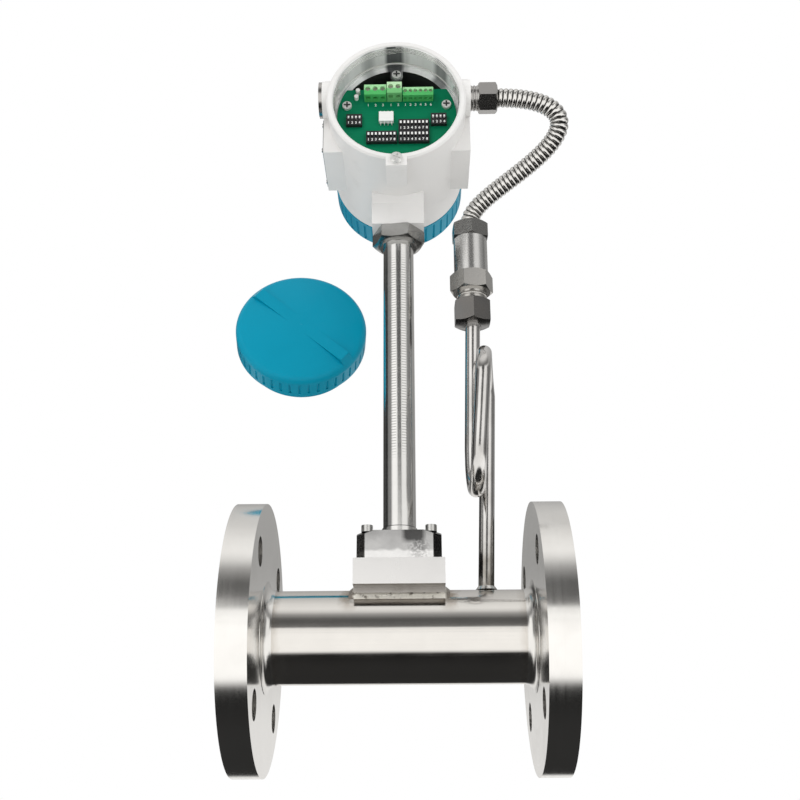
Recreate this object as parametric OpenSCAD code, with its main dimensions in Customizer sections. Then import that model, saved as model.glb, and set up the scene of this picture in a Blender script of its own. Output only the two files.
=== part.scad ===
// Vortex flow meter for a pipeline, with a compensating pressure sensor on a siphon.
// X runs along the pipe from the inlet face, Y points to the display side, Z up the stem.

/* [Pipe and flanges] */
// Outside diameter of the flow tube
tube_od = 57; // [52:0.5:62]
// Wall of the flow tube
tube_wall = 3.5; // [2.5:0.5:5]
// Length between the two sealing faces
face_to_face = 204; // [196:1:260]
// Outside diameter of each flange
flange_d = 165; // [155:1:185]
// Thickness of each flange without its raised face
flange_t = 18; // [14:0.5:22]
// Diameter of the raised sealing face
raised_face_d = 99; // [88:1:104]
// Height of the raised sealing face
raised_face_h = 2; // [1:0.5:3]
// Circle through the middles of the flange holes
bolt_circle_d = 125; // [123:1:132]
// Diameter of each flange hole
bolt_hole_d = 18; // [14:0.5:20]
// Holes in each flange
bolt_count = 4; // [4:4:8]
// How far each tube end lies behind its sealing face
tube_setback = 4; // [2:0.5:8]
// Leg of the weld round the tube at each flange
weld_leg = 6; // [4:0.5:8]

/* [Shedder bar] */
// Width of the bar across the flow
bar_w = 14; // [10:0.5:17]
// Length of the bar along the flow
bar_l = 18; // [12:0.5:20]
// Width of the bar's tail
bar_tail_w = 5; // [3:0.5:8]
// Gap between the bar's tail and the bore of the probe
bar_gap = 7; // [5:0.5:12]

/* [Sensor seat and bonnet] */
// Side of the square seat that is welded to the tube
seat_w = 56; // [54:0.5:62]
// Height of the seat's body above the weld
seat_h = 16.2; // [13:0.2:22]
// How far the seat's underside lies below the tube's crown
seat_drop = 1; // [0.6:0.1:1.5]
// Half of the plinth's width between the seat and the tube
plinth_half = 17.6; // [16:0.2:20]
// Leg of the weld round the plinth
seat_leg = 2.8; // [2:0.1:3.6]
// Side of the square bonnet
bonnet_w = 52.4; // [50:0.2:54]
// Height of the bonnet
bonnet_h = 17.6; // [15:0.2:24]
// Width that is cut off each upright corner of the bonnet
bonnet_corner = 5.3; // [3:0.1:6]
// Diameter of the low step on the bonnet
bonnet_step_d = 33; // [28:0.5:36]
// Height of the low step on the bonnet
bonnet_step_h = 1.6; // [1:0.1:2.5]
// Distance between neighbouring bonnet bolts
bonnet_bolt_gap = 39.6; // [38:0.2:41]
// Shank diameter of the bonnet bolts
bonnet_bolt_d = 4; // [3:0.5:5]
// Head diameter of the bonnet bolts
bonnet_head_d = 7.2; // [6:0.2:8.2]
// Head height of the bonnet bolts
bonnet_head_h = 4.2; // [3:0.2:5]
// Bore through the seat for the probe
probe_bore_d = 24; // [20:0.5:25]
// Diameter of the probe's flange
probe_flange_d = 34; // [30:0.5:35]
// Thickness of the probe's flange
probe_flange_t = 3; // [2:0.5:5]
// Thickness of the fin that the vortices push
fin_t = 3; // [2:0.5:5]
// Reach of the fin into the bore, below the tube's crown
fin_reach = 34; // [24:1:42]
// Thickness of the sensor gasket
gasket_t = 1.5; // [1:0.1:2]

/* [Stem] */
// Outside diameter of the stem
stem_d = 21; // [19:0.5:23]
// Wall of the stem
stem_wall = 2.5; // [1.5:0.5:4]
// Depth of the stem in the bonnet
stem_socket = 9; // [6:0.5:11]
// Diameter of the collar at the foot of the stem
collar_d = 22.6; // [22:0.2:27]
// Height of the collar
collar_h = 5; // [3:0.5:8]
// Distance across the flats of the stem's lock nut
stem_nut_af = 32; // [29:0.5:33]
// Height of the stem's lock nut
stem_nut_h = 9.6; // [7:0.2:14]
// Diameter of the signal lead
lead_d = 5; // [3:0.5:7]

/* [Head] */
// Height of the head's axis above the pipe's axis
head_z = 348; // [330:1:420]
// Radius of the head's outside
head_r = 47; // [46:0.2:49]
// Distance from the stem's axis to the front rim
head_front = 65; // [63:0.5:80]
// Distance from the stem's axis to the seam of the display cover
head_rear = 32.5; // [31:0.5:45]
// Wall at the machined mouths
mouth_wall = 4.4; // [4:0.1:5.2]
// Wall of the cast chambers
chamber_wall = 8; // [7.4:0.1:8.6]
// Depth of the machined mouth in front of the terminal board
front_depth = 22.6; // [20:0.2:24]
// Depth of the machined mouth at the display
rear_depth = 15; // [13:0.5:18]
// Thickness of the wall between the two chambers
web_t = 6; // [4:0.5:8]
// Distance from the stem's axis to that wall's rear face
web_y = 16; // [12:0.5:16]
// Width of the stem boss along the pipe
boss_w = 36; // [33:0.5:40]
// Length of the stem boss across the pipe
boss_l = 31; // [29:0.5:36]
// Reach of the stem boss below the head's outside
boss_drop = 20; // [16:0.5:26]
// Reach of the side pads from the head's middle
pad_x = 50; // [49:0.5:54]
// Half of the side pads' height
pad_half_h = 29; // [27:0.5:33]
// Front end of the side pads, from the stem's axis
pad_front = 46; // [40:0.5:48]
// Rear end of the side pads, from the stem's axis
pad_rear = 3; // [0:0.5:12]
// Distance from the stem's axis to the cable entries
entry_y = 50.5; // [50:0.5:52]
// Height of the cable entries above the head's axis
entry_up = 9.6; // [4:0.2:12]
// Diameter of the cable entry bosses
entry_boss_d = 25; // [22:0.5:26]
// Diameter of the cable entries
entry_d = 16; // [13:0.5:16.5]
// Reach of the cable entry bosses from the head's middle
entry_x = 50.4; // [50:0.2:56]
// Thickness of the head of the plug in the spare cable entry
plug_h = 2.4; // [1.5:0.1:4]
// Width of the lug under the front rim
lug_w = 14; // [12:0.5:20]
// Reach of the lug below the head's outside
lug_drop = 5; // [4:0.2:8]
// Length of the lug
lug_l = 32; // [26:1:38]
// Head diameter of the earth screw
earth_head_d = 8.4; // [7:0.2:8.6]
// Head height of the earth screw
earth_head_h = 2.7; // [2:0.1:3.5]

/* [Covers] */
// Radius of each cover over its ribs
cover_r = 47.4; // [46.6:0.2:49]
// Depth of the display cover's ribbed rim
cover_depth = 24; // [20:0.5:30]
// Depth of the plain cover's ribbed rim
cap_depth = 19; // [15:0.5:26]
// Length of the threaded spigot behind each rim
spigot_l = 10; // [9:0.5:12]
// Wall of the threaded spigot
spigot_wall = 3.6; // [3:0.1:4]
// Grooves round each rim
rib_count = 44; // [36:2:64]
// Radius of each groove round the rim
rib_r = 1.1; // [0.6:0.1:1.2]
// Rounding of the plain cover's edge
cap_round = 5; // [3:0.5:6]
// Thickness of each cover's face
face_t = 5; // [4:0.5:7]
// Rise of the plain cover's domed face
dome_rise = 3.4; // [2:0.1:5]
// Width of the grip bar across the plain cover
grip_w = 9; // [7:0.5:14]
// Turn of the grip bar from level
grip_turn = 41; // [0:1:90]
// Radius of the window opening
window_r = 30; // [26:0.5:31]
// Thickness of the window glass
glass_t = 6; // [4:0.5:8]
// Height of the ring that holds the glass
window_ring_h = 4; // [3:0.5:6]
// Thread play between each cover and the head
thread_play = 0.1; // [0.05:0.01:0.2]
// Cord diameter of the cover seals
seal_d = 1.8; // [1.4:0.1:2]
// Place of the loose cover's middle along the pipe, from the stem's axis
loose_x = -71.6; // [-90:0.2:-64]
// Place of the loose cover's rim edge
loose_y = 44; // [20:1:44]
// Height of the loose cover's middle
loose_z = 230.8; // [180:0.2:236]
// Lean of the loose cover
loose_lean = 11.5; // [0:0.5:14]
// Turn of the loose cover towards the stem
loose_turn = 5; // [0:1:10]

/* [Terminal compartment] */
// Thickness of each circuit board
board_t = 1.6; // [1.2:0.1:2]
// Height of the terminal board's flat top above the head's axis
board_flat = 22.5; // [21.8:0.1:26]
// Spacing of the terminals in the two large blocks
pitch_large = 5.08; // [5:0.01:5.1]
// Spacing of the terminals in the long low block
pitch_small = 3.5; // [3.3:0.01:3.6]
// Foot of the terminal blocks above the head's axis
terminal_foot = 12.4; // [11:0.1:13]
// Spacing of the switch sliders
switch_pitch = 2.54; // [2.4:0.01:2.54]
// Height of each switch bank
switch_h = 8.8; // [8:0.1:9]
// Depth of each switch bank
switch_t = 3; // [2.6:0.1:5]
// Travel of each switch slider
switch_travel = 2; // [1.5:0.1:2.4]
// Distance of the board screws from the head's middle
screw_x = 34.3; // [33.8:0.1:34.6]
// Height of the board screws above the head's axis
screw_up = 9; // [8:0.2:10]
// Head diameter of the board screws
screw_head_d = 6.4; // [5.4:0.1:6.8]
// Height of the upper lug screw above the head's axis
top_screw_up = 34; // [33:0.1:34.4]

/* [Display] */
// Radius of the display board
display_board_r = 34; // [33.5:0.5:36]
// Distance from the stem's axis to the display board's back
display_y = 20; // [17:0.5:24]
// Width of the screen
screen_w = 46; // [40:0.5:48]
// Height of the screen
screen_h = 28; // [24:0.5:30]
// Depth of the screen
screen_t = 8; // [6:0.5:10]
// Distance between neighbouring keys
key_gap = 13; // [11:0.5:16]
// Diameter of each key
key_d = 4; // [3:0.1:4.4]
// Travel of each key
key_travel = 0.5; // [0.3:0.1:0.8]

/* [Pressure sensor] */
// Distance of the pressure sensor from the stem's axis
sensor_x = 50.3; // [48:0.1:56]
// Height of the compression nut's foot above the pipe's axis
sensor_z = 210.5; // [200:0.5:214]
// Distance across the flats of the compression nut
comp_nut_af = 23.6; // [22:0.2:26]
// Height of the compression nut
comp_nut_h = 16.3; // [14:0.1:18]
// Diameter of the threaded neck
neck_d = 21; // [18.4:0.2:21.4]
// Height of the threaded neck
neck_h = 7.2; // [5:0.1:9]
// Distance across the flats of the sensor's hexagon
base_af = 26; // [25:0.2:28]
// Height of the sensor's hexagon
base_h = 13.5; // [10:0.1:16]
// Diameter of the sensor's body
sensor_d = 23.4; // [21:0.2:25]
// Height of the sensor's body
sensor_h = 27.5; // [20:0.5:32]
// Distance across the flats of the conduit's lower nut
low_nut_af = 23.6; // [22:0.2:25]
// Height of the conduit's lower nut
low_nut_h = 13; // [11:0.5:16]

/* [Siphon] */
// Outside diameter of the siphon tube
siphon_od = 10; // [8:0.1:10.2]
// Wall of the siphon tube
siphon_wall = 1.5; // [1:0.1:2]
// Radius of the siphon's two bends
siphon_bend_r = 20; // [16:0.5:24]
// Height of the lower bend's middle
siphon_low_z = 109; // [104:0.5:116]
// Height of the upper bend's middle
siphon_high_z = 160.5; // [150:0.5:170]
// Lean of the upper leg, back towards the stem
siphon_lean = 2.6; // [1.5:0.1:3.5]
// Shift of the lower leg along the pipe, clear of the upper one
siphon_shift = 9; // [9:0.1:12]
// Shift of the lower leg across the pipe
siphon_back = 8; // [7:0.5:10]
// Distance of the siphon's foot from the stem's axis
siphon_foot_x = 54; // [53:0.1:60]

/* [Conduit] */
// Outside diameter over the conduit's ridges
conduit_od = 13; // [11:0.2:13.4]
// Depth of the grooves between the ridges
conduit_groove = 1.1; // [0.5:0.1:1.6]
// Ridges along the conduit
conduit_ridges = 38; // [30:1:50]
// Reach of the conduit's route out of the upper nut
conduit_reach = 72; // [60:1:80]
// Reach of the conduit's outer bend from the upper nut
conduit_swing = 55; // [50:1:60]
// Distance across the flats of the conduit's upper nut
up_nut_af = 19; // [18:0.2:22]
// Length of the conduit's upper nut
up_nut_l = 12.8; // [11:0.2:16]
// Length of the threaded neck between the head and that nut
adapter_neck = 5.6; // [4:0.2:8]

/* [Hidden] */
$fn = 48;

// Running play between round pieces, and the play that lets a part be dropped in
fit = 0.05;
play = 0.3;
eps = 0.5;

mid_x = face_to_face / 2;
tube_r = tube_od / 2;
bore_r = tube_r - tube_wall;
seat_z = tube_r - seat_drop;
seat_top = seat_z + seat_h;
bonnet_top = seat_top + bonnet_h;
collar_z = bonnet_top + bonnet_step_h;
stem_r = stem_d / 2;
stem_foot = bonnet_top - stem_socket;
boss_z = head_z - head_r - boss_drop;
stem_top = boss_z + 16;
mouth_r = head_r - mouth_wall;
chamber_r = head_r - chamber_wall;
board_y = -head_front + front_depth;
board_front = board_y - board_t;
web_front = -web_y - web_t;
entry_z = head_z + entry_up;
entry_thread = entry_x - mouth_r;
spigot_r = mouth_r - thread_play;
seal_inset = 2.6;
seam_round = 1.4;
lug_ramp = 6;
boss_ramp = 4;
cover_inner_r = spigot_r - spigot_wall;
window_seat_r = window_r + 4;
display_front = display_y + board_t;
key_z = -20;
key_seat_h = 3.5;
key_top = 8.4;
key_seat_w = 6;
screen_up = 7;
display_screw_x = 28.5;
base_z = sensor_z + comp_nut_h + neck_h;
body_z = base_z + base_h;
low_nut_z = body_z + sensor_h;
low_nut_top = low_nut_z + low_nut_h;
siphon_r = siphon_od / 2;
ferrule_h = 3;
nut_floor = 5.5;
stub_r = neck_d / 2 - 1.4;
stub_z = sensor_z + nut_floor + ferrule_h;
siphon_top = sensor_z + comp_nut_h + 2;
conduit_r = conduit_od / 2;
up_nut_x = entry_x + adapter_neck;
up_nut_end = up_nut_x + up_nut_l;
conduit_in = 6;
swing_y = -37.6;
swing_drop = 5;
swing_rise = 28.7;
screw_l = 8;
pass_x = -12;
pass_up = 27;
pass_r = 5;

function unit(v) = v / norm(v);
function heading(route, i) =
    unit(route[min(i + 1, len(route) - 1)] - route[max(i - 1, 0)]);
function ring(middle, along, side, r, sides) =
    let (a = unit(side - (side * along) * along), b = cross(along, a))
    [for (k = [0 : sides - 1])
        middle + r * cos(360 * k / sides) * a + r * sin(360 * k / sides) * b];
function bezier(p, t) =
    len(p) == 1 ? p[0]
    : bezier([for (i = [0 : len(p) - 2]) p[i] * (1 - t) + p[i + 1] * t], t);

// A solid rod with a radius for each point of its route
module rod_along(route, radii, side, sides) {
    n = len(route);
    points = [for (i = [0 : n - 1])
        each ring(route[i], heading(route, i), side, radii[i], sides)];
    walls = [for (i = [0 : n - 2]) for (k = [0 : sides - 1])
        [i * sides + k, (i + 1) * sides + k,
         (i + 1) * sides + (k + 1) % sides, i * sides + (k + 1) % sides]];
    start = [[for (k = [0 : sides - 1]) k]];
    finish = [[for (k = [0 : sides - 1]) n * sides - 1 - k]];
    polyhedron(points = points, faces = concat(start, walls, finish));
}

// An open tube along a route
module tube_along(route, r_out, r_in, side, sides) {
    n = len(route);
    m = n * sides;
    outer = [for (i = [0 : n - 1])
        each ring(route[i], heading(route, i), side, r_out, sides)];
    inner = [for (i = [0 : n - 1])
        each ring(route[i], heading(route, i), side, r_in, sides)];
    outer_walls = [for (i = [0 : n - 2]) for (k = [0 : sides - 1])
        [i * sides + k, (i + 1) * sides + k,
         (i + 1) * sides + (k + 1) % sides, i * sides + (k + 1) % sides]];
    inner_walls = [for (i = [0 : n - 2]) for (k = [0 : sides - 1])
        [m + i * sides + k, m + i * sides + (k + 1) % sides,
         m + (i + 1) * sides + (k + 1) % sides, m + (i + 1) * sides + k]];
    start = [for (k = [0 : sides - 1])
        [k, (k + 1) % sides, m + (k + 1) % sides, m + k]];
    last = (n - 1) * sides;
    finish = [for (k = [0 : sides - 1])
        [last + k, m + last + k, m + last + (k + 1) % sides, last + (k + 1) % sides]];
    polyhedron(points = concat(outer, inner),
        faces = concat(outer_walls, inner_walls, start, finish));
}

// Children stand on the stem's axis
module at_stem() {
    translate([mid_x, 0, 0]) children();
}

// Children stand on the head's axis, at the level of the stem's axis
module at_head() {
    translate([mid_x, 0, head_z]) children();
}

// A round bar along X, from x1 to x2
module bar_x(x1, x2, r) {
    translate([x1, 0, 0]) rotate([0, 90, 0]) cylinder(h = x2 - x1, r = r);
}

// A round bar along Y, from y1 to y2
module bar_y(y1, y2, r) {
    translate([0, y1, 0]) rotate([-90, 0, 0]) cylinder(h = y2 - y1, r = r);
}

// A round bar along Y whose radius changes from r1 to r2
module cone_y(y1, y2, r1, r2) {
    translate([0, y1, 0]) rotate([-90, 0, 0]) cylinder(h = y2 - y1, r1 = r1, r2 = r2);
}

// A slab across X of a width, with an outline in y and z
module slab_x(width, outline) {
    translate([-width / 2, 0, 0]) rotate([90, 0, 90]) linear_extrude(width) polygon(outline);
}

// A hexagonal nut blank standing on z = 0, its corners turned off at both ends
module hexagon(af, h, low, high) {
    corner_r = af / 2 / cos(30);
    slope = tan(30);
    intersection() {
        cylinder(h = h, r = corner_r, $fn = 6);
        union() {
            cylinder(h = low, r1 = corner_r - low / slope, r2 = corner_r);
            translate([0, 0, low]) cylinder(h = h - low - high, r = corner_r);
            translate([0, 0, h - high])
                cylinder(h = high, r1 = corner_r, r2 = corner_r - high / slope);
        }
    }
}

// Pipe, flanges and welds

module flow_tube() {
    color("silver") difference() {
        bar_x(tube_setback, face_to_face - tube_setback, tube_r);
        bar_x(tube_setback - eps, face_to_face - tube_setback + eps, bore_r);
        at_stem() cylinder(h = tube_od, r = probe_bore_d / 2);
        at_stem() translate([siphon_foot_x, 0, 0])
            cylinder(h = tube_od, r = siphon_r - siphon_wall);
    }
}

// One flange with its raised face at x = 0
module flange() {
    difference() {
        union() {
            bar_x(0, raised_face_h + 1, raised_face_d / 2);
            bar_x(raised_face_h, raised_face_h + flange_t, flange_d / 2);
        }
        bar_x(-eps, raised_face_h + flange_t + eps, tube_r + fit);
        for (i = [0 : bolt_count - 1])
            rotate([(i + 0.5) * 360 / bolt_count, 0, 0])
                translate([0, bolt_circle_d / 2, 0])
                    bar_x(-eps, raised_face_h + flange_t + eps, bolt_hole_d / 2);
        for (r = [raised_face_d / 2 - 4 : -4 : tube_r + 6])
            rotate([0, 90, 0]) rotate_extrude() translate([r, 0]) circle(r = 0.5);
    }
}

module inlet_flange() {
    color("lightsteelblue") flange();
}

module outlet_flange() {
    color("lightsteelblue") translate([face_to_face, 0, 0]) mirror([1, 0, 0]) flange();
}

// A hollow weld fillet round the tube, growing from x = 0
module tube_fillet() {
    toe = 0.2;
    difference() {
        bar_x(0, weld_leg, tube_r + weld_leg);
        bar_x(-eps, weld_leg + eps, tube_r + fit);
        translate([weld_leg + toe, 0, 0]) rotate([0, 90, 0]) rotate_extrude()
            translate([tube_r + weld_leg + toe, 0]) circle(r = weld_leg);
    }
}

// Height of the tube's surface at a distance y from its crown line
function tube_top(y) = sqrt(tube_r * tube_r - y * y);

// The weld along one long side of the seat's plinth
module side_bead() {
    near = plinth_half + 0.02;
    far = plinth_half + seat_leg;
    length = seat_w + 2 * seat_leg;
    difference() {
        slab_x(length, [[near, tube_top(near) - 3], [near, tube_top(near) + seat_leg * 0.7],
            [near + seat_leg * 0.5, tube_top(near) + seat_leg * 0.25],
            [far, tube_top(far) + 0.2], [far, tube_top(far) - 3]]);
        bar_x(-seat_w, seat_w, tube_r + fit);
    }
}

// The weld across the tube at one end of the seat's plinth
module end_bead() {
    near = seat_w / 2 + 0.02;
    intersection() {
        difference() {
            translate([near, 0, 0]) rotate([0, 90, 0])
                cylinder(h = seat_leg, r1 = tube_r + seat_leg * 0.9, r2 = tube_r + 0.3);
            bar_x(0, seat_w, tube_r + fit);
        }
        translate([0, -plinth_half - 1, 0]) cube([seat_w, 2 * plinth_half + 2, 2 * tube_r]);
    }
}

module weld_beads() {
    inner = raised_face_h + flange_t;
    color("darkgoldenrod") {
        translate([inner, 0, 0]) tube_fillet();
        translate([face_to_face - inner, 0, 0]) mirror([1, 0, 0]) tube_fillet();
        at_stem() {
            side_bead();
            mirror([0, 1, 0]) side_bead();
            end_bead();
            mirror([1, 0, 0]) end_bead();
            translate([siphon_foot_x, 0, tube_r + fit]) difference() {
                cylinder(h = 2.2, r1 = siphon_r + 2, r2 = siphon_r + 0.4);
                translate([0, 0, -eps]) cylinder(h = 4, r = siphon_r + 0.25);
            }
        }
    }
}

module shedder_bar() {
    tail = -probe_bore_d / 2 - bar_gap;
    color("gainsboro") at_stem() intersection() {
        translate([0, 0, -tube_r]) linear_extrude(tube_od)
            polygon([[tail - bar_l, -bar_w / 2], [tail - bar_l + 2, -bar_w / 2],
                [tail, -bar_tail_w / 2], [tail, bar_tail_w / 2],
                [tail - bar_l + 2, bar_w / 2], [tail - bar_l, bar_w / 2]]);
        bar_x(tail - bar_l - eps, tail + eps, bore_r - fit);
    }
}

// Sensor seat, probe and bonnet

// Children stand at the four bonnet bolts
module at_bonnet_bolts() {
    for (x = [-1, 1]) for (y = [-1, 1])
        translate([x * bonnet_bolt_gap / 2, y * bonnet_bolt_gap / 2, 0]) children();
}

module sensor_seat() {
    color("whitesmoke") at_stem() difference() {
        union() {
            translate([-seat_w / 2, -seat_w / 2, seat_z]) cube([seat_w, seat_w, seat_h]);
            translate([-seat_w / 2, -plinth_half, tube_top(plinth_half) - 1])
                cube([seat_w, 2 * plinth_half, seat_z + 2 - tube_top(plinth_half)]);
        }
        bar_x(-seat_w, seat_w, tube_r + fit);
        cylinder(h = seat_top + eps, r = probe_bore_d / 2);
        translate([0, 0, seat_top - gasket_t])
            cylinder(h = gasket_t + eps, r = probe_flange_d / 2 + fit);
        at_bonnet_bolts() translate([0, 0, seat_top - 10.4])
            cylinder(h = 10.4 + eps, r = bonnet_bolt_d / 2 + fit);
    }
}

module sensor_gasket() {
    color("dimgray") at_stem() translate([0, 0, seat_top - gasket_t]) difference() {
        cylinder(h = gasket_t, r = probe_flange_d / 2);
        translate([0, 0, -eps]) cylinder(h = gasket_t + 2 * eps, r = probe_bore_d / 2);
    }
}

module vortex_probe() {
    plug_r = probe_bore_d / 2 - fit;
    color("gainsboro") at_stem() {
        difference() {
            union() {
                translate([0, 0, seat_top])
                    cylinder(h = probe_flange_t, r = probe_flange_d / 2);
                translate([0, 0, tube_r - 4]) cylinder(h = seat_top - tube_r + 5, r = plug_r);
            }
            translate([0, 0, seat_top - 6])
                cylinder(h = probe_flange_t + 7, r = lead_d / 2 + fit);
        }
        translate([-7, -fin_t / 2, tube_r - fin_reach])
            cube([14, fin_t, fin_reach - 3.5]);
    }
}

module bonnet() {
    half = bonnet_w / 2;
    cut = bonnet_corner;
    outline = [[-half + cut, -half], [half - cut, -half], [half, -half + cut],
        [half, half - cut], [half - cut, half], [-half + cut, half],
        [-half, half - cut], [-half, -half + cut]];
    corner_r = norm([half, half - cut]);
    color("lightgray") at_stem() difference() {
        union() {
            intersection() {
                translate([0, 0, seat_top]) linear_extrude(bonnet_h) polygon(outline);
                union() {
                    translate([0, 0, seat_top]) cylinder(h = bonnet_h - 3, r = corner_r + 1);
                    translate([0, 0, bonnet_top - 3])
                        cylinder(h = 3, r1 = corner_r + 1, r2 = corner_r - 3.4);
                }
            }
            translate([0, 0, bonnet_top - 1])
                cylinder(h = bonnet_step_h + 1, r = bonnet_step_d / 2);
        }
        translate([0, 0, seat_top - eps])
            cylinder(h = probe_flange_t + eps, r = probe_flange_d / 2 + fit);
        cylinder(h = bonnet_top, r = stem_r - stem_wall);
        translate([0, 0, stem_foot])
            cylinder(h = stem_socket + bonnet_step_h + eps, r = stem_r + fit);
        at_bonnet_bolts() translate([0, 0, seat_top - eps])
            cylinder(h = bonnet_h + 2 * eps, r = bonnet_bolt_d / 2 + 0.25);
    }
}

module bonnet_bolts() {
    color("slategray") at_stem() at_bonnet_bolts() difference() {
        union() {
            translate([0, 0, bonnet_top]) cylinder(h = bonnet_head_h, r = bonnet_head_d / 2);
            translate([0, 0, seat_top - 10])
                cylinder(h = bonnet_h + 10.5, r = bonnet_bolt_d / 2);
        }
        translate([0, 0, bonnet_top + bonnet_head_h - 2.2])
            cylinder(h = 3, r = bonnet_head_d / 4, $fn = 6);
    }
}

// Stem

module stem() {
    color("silver") at_stem() difference() {
        union() {
            translate([0, 0, stem_foot]) cylinder(h = stem_top - stem_foot, r = stem_r);
            translate([0, 0, collar_z]) cylinder(h = collar_h, r = collar_d / 2);
        }
        translate([0, 0, stem_foot - eps])
            cylinder(h = stem_top - stem_foot + 2 * eps, r = stem_r - stem_wall);
    }
}

module stem_lock_nut() {
    color("darkgray") at_stem() translate([0, 0, boss_z - stem_nut_h]) difference() {
        union() {
            rotate([0, 0, -8]) hexagon(stem_nut_af, stem_nut_h, 1.4, 0.4);
            translate([0, 0, -2.2]) cylinder(h = 4, r = stem_r + 2.4);
        }
        translate([0, 0, -3]) cylinder(h = stem_nut_h + 4, r = stem_r + fit);
    }
}

module signal_lead() {
    foot = seat_top - 6;
    top = head_z - chamber_r + 12;
    color("black") at_stem() translate([0, 0, foot])
        cylinder(h = top - foot, r = lead_d / 2);
}

// Siphon and pressure sensor

module siphon_tube() {
    bend = siphon_bend_r;
    steps = 12;
    near_x = sensor_x - siphon_lean;
    far_x = sensor_x + siphon_shift;
    run = far_x - near_x;
    foot_z = tube_r + fit;
    foot = [siphon_foot_x, 0, foot_z + 3];
    upper_leg = [[sensor_x, 0, siphon_top], [sensor_x, 0, sensor_z - 1],
        [near_x, 0, siphon_low_z + 12]];
    low_bend = [for (i = [0 : steps]) let (a = 180 * i / steps)
        [near_x + run * 0.2 * i / steps,
         -bend + bend * cos(a), siphon_low_z - bend * sin(a)]];
    front_leg = [[near_x + run * 0.37, -2 * bend, (siphon_low_z + siphon_high_z) / 2]];
    high_bend = [for (i = [0 : steps]) let (a = 180 * i / steps)
        [near_x + run * (0.53 + 0.47 * i / steps),
         -bend - bend * cos(a) + siphon_back * i / steps,
         siphon_high_z + bend * sin(a)]];
    lower_leg = [for (t = [0.25, 0.5, 0.75])
        high_bend[steps] * (1 - t) + foot * t];
    color("silver") at_stem() tube_along(
        concat(upper_leg, low_bend, front_leg, high_bend, lower_leg,
            [foot, [siphon_foot_x, 0, foot_z]]),
        siphon_r, siphon_r - siphon_wall, [1, 0, 0], 14);
}

// Children stand on the sensor's axis
module at_sensor() {
    translate([mid_x + sensor_x, 0, 0]) children();
}

module siphon_ferrule() {
    color("gainsboro") at_sensor() translate([0, 0, sensor_z + nut_floor]) difference() {
        cylinder(h = ferrule_h, r1 = siphon_r + 1, r2 = stub_r - 0.6);
        translate([0, 0, -eps]) cylinder(h = ferrule_h + 2 * eps, r = siphon_r + fit);
    }
}

module compression_nut() {
    color("gray") at_sensor() translate([0, 0, sensor_z]) difference() {
        rotate([0, 0, 30 + 2]) hexagon(comp_nut_af, comp_nut_h, 1.1, 0.9);
        translate([0, 0, -eps]) cylinder(h = comp_nut_h, r = siphon_r + fit);
        translate([0, 0, nut_floor]) cylinder(h = comp_nut_h, r = stub_r + fit);
    }
}

module sensor_base() {
    neck_z = sensor_z + comp_nut_h;
    color("lightgray") at_sensor() difference() {
        union() {
            translate([0, 0, stub_z]) cylinder(h = neck_z - stub_z + 1, r = stub_r);
            translate([0, 0, neck_z]) cylinder(h = neck_h + 1, r = neck_d / 2);
            translate([0, 0, base_z]) rotate([0, 0, 8]) hexagon(base_af, base_h, 1.3, 1.1);
        }
        translate([0, 0, neck_z + neck_h / 2]) rotate_extrude()
            translate([neck_d / 2, 0]) circle(r = 1.2);
        translate([0, 0, stub_z - eps])
            cylinder(h = siphon_top - stub_z + eps, r = siphon_r + fit);
        cylinder(h = body_z + 1, r = siphon_r - siphon_wall);
        translate([0, 0, body_z - 5]) cylinder(h = 6, r = 8 + fit);
    }
}

module pressure_sensor() {
    color("darkgray") at_sensor() difference() {
        union() {
            translate([0, 0, body_z]) cylinder(h = sensor_h, r = sensor_d / 2);
            translate([0, 0, body_z - 5]) cylinder(h = 6, r = 8);
            translate([0, 0, low_nut_z - 1]) cylinder(h = 6, r = 8);
        }
        translate([0, 0, body_z - 6]) cylinder(h = 5, r = siphon_r - siphon_wall);
    }
}

module conduit_lower_nut() {
    color("gray") at_sensor() translate([0, 0, low_nut_z]) difference() {
        rotate([0, 0, 30 + 4]) hexagon(low_nut_af, low_nut_h, 1, 2.4);
        translate([0, 0, -eps]) cylinder(h = 5 + play + eps, r = 8 + fit);
        cylinder(h = low_nut_h + 1, r = conduit_r + play);
    }
}

// Conduit between the pressure sensor and the head

module flexible_conduit() {
    start = [up_nut_end - conduit_in, -entry_y, entry_z];
    finish = [sensor_x, 0, low_nut_top - conduit_in];
    leave = start + [conduit_in, 0, 0];
    enter = finish + [0, 0, conduit_in];
    swing = [up_nut_end + conduit_swing, swing_y, (entry_z + low_nut_top) / 2 - swing_drop];
    handles = [leave, leave + [conduit_reach, 0, 0], swing,
        enter + [0, 0, swing_rise], enter];
    steps = 2 * conduit_ridges;
    route = concat([start, start + [conduit_in / 2, 0, 0]],
        [for (i = [0 : steps]) bezier(handles, i / steps)],
        [finish + [0, 0, conduit_in / 2], finish]);
    radii = [for (i = [0 : len(route) - 1])
        conduit_r - (i % 2 == 0 ? 0 : conduit_groove)];
    color("darkgray") at_stem() rod_along(route, radii, [0, 0.8, 0.6], 14);
}

module conduit_upper_nut() {
    color("silver") at_stem() translate([up_nut_x, -entry_y, entry_z]) difference() {
        rotate([0, 90, 0]) rotate([0, 0, -9]) hexagon(up_nut_af, up_nut_l, 0.8, 1.2);
        bar_x(-eps, 5.5 + play, 7.3 + fit);
        bar_x(-eps, up_nut_l + eps, conduit_r + play);
    }
}

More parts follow.
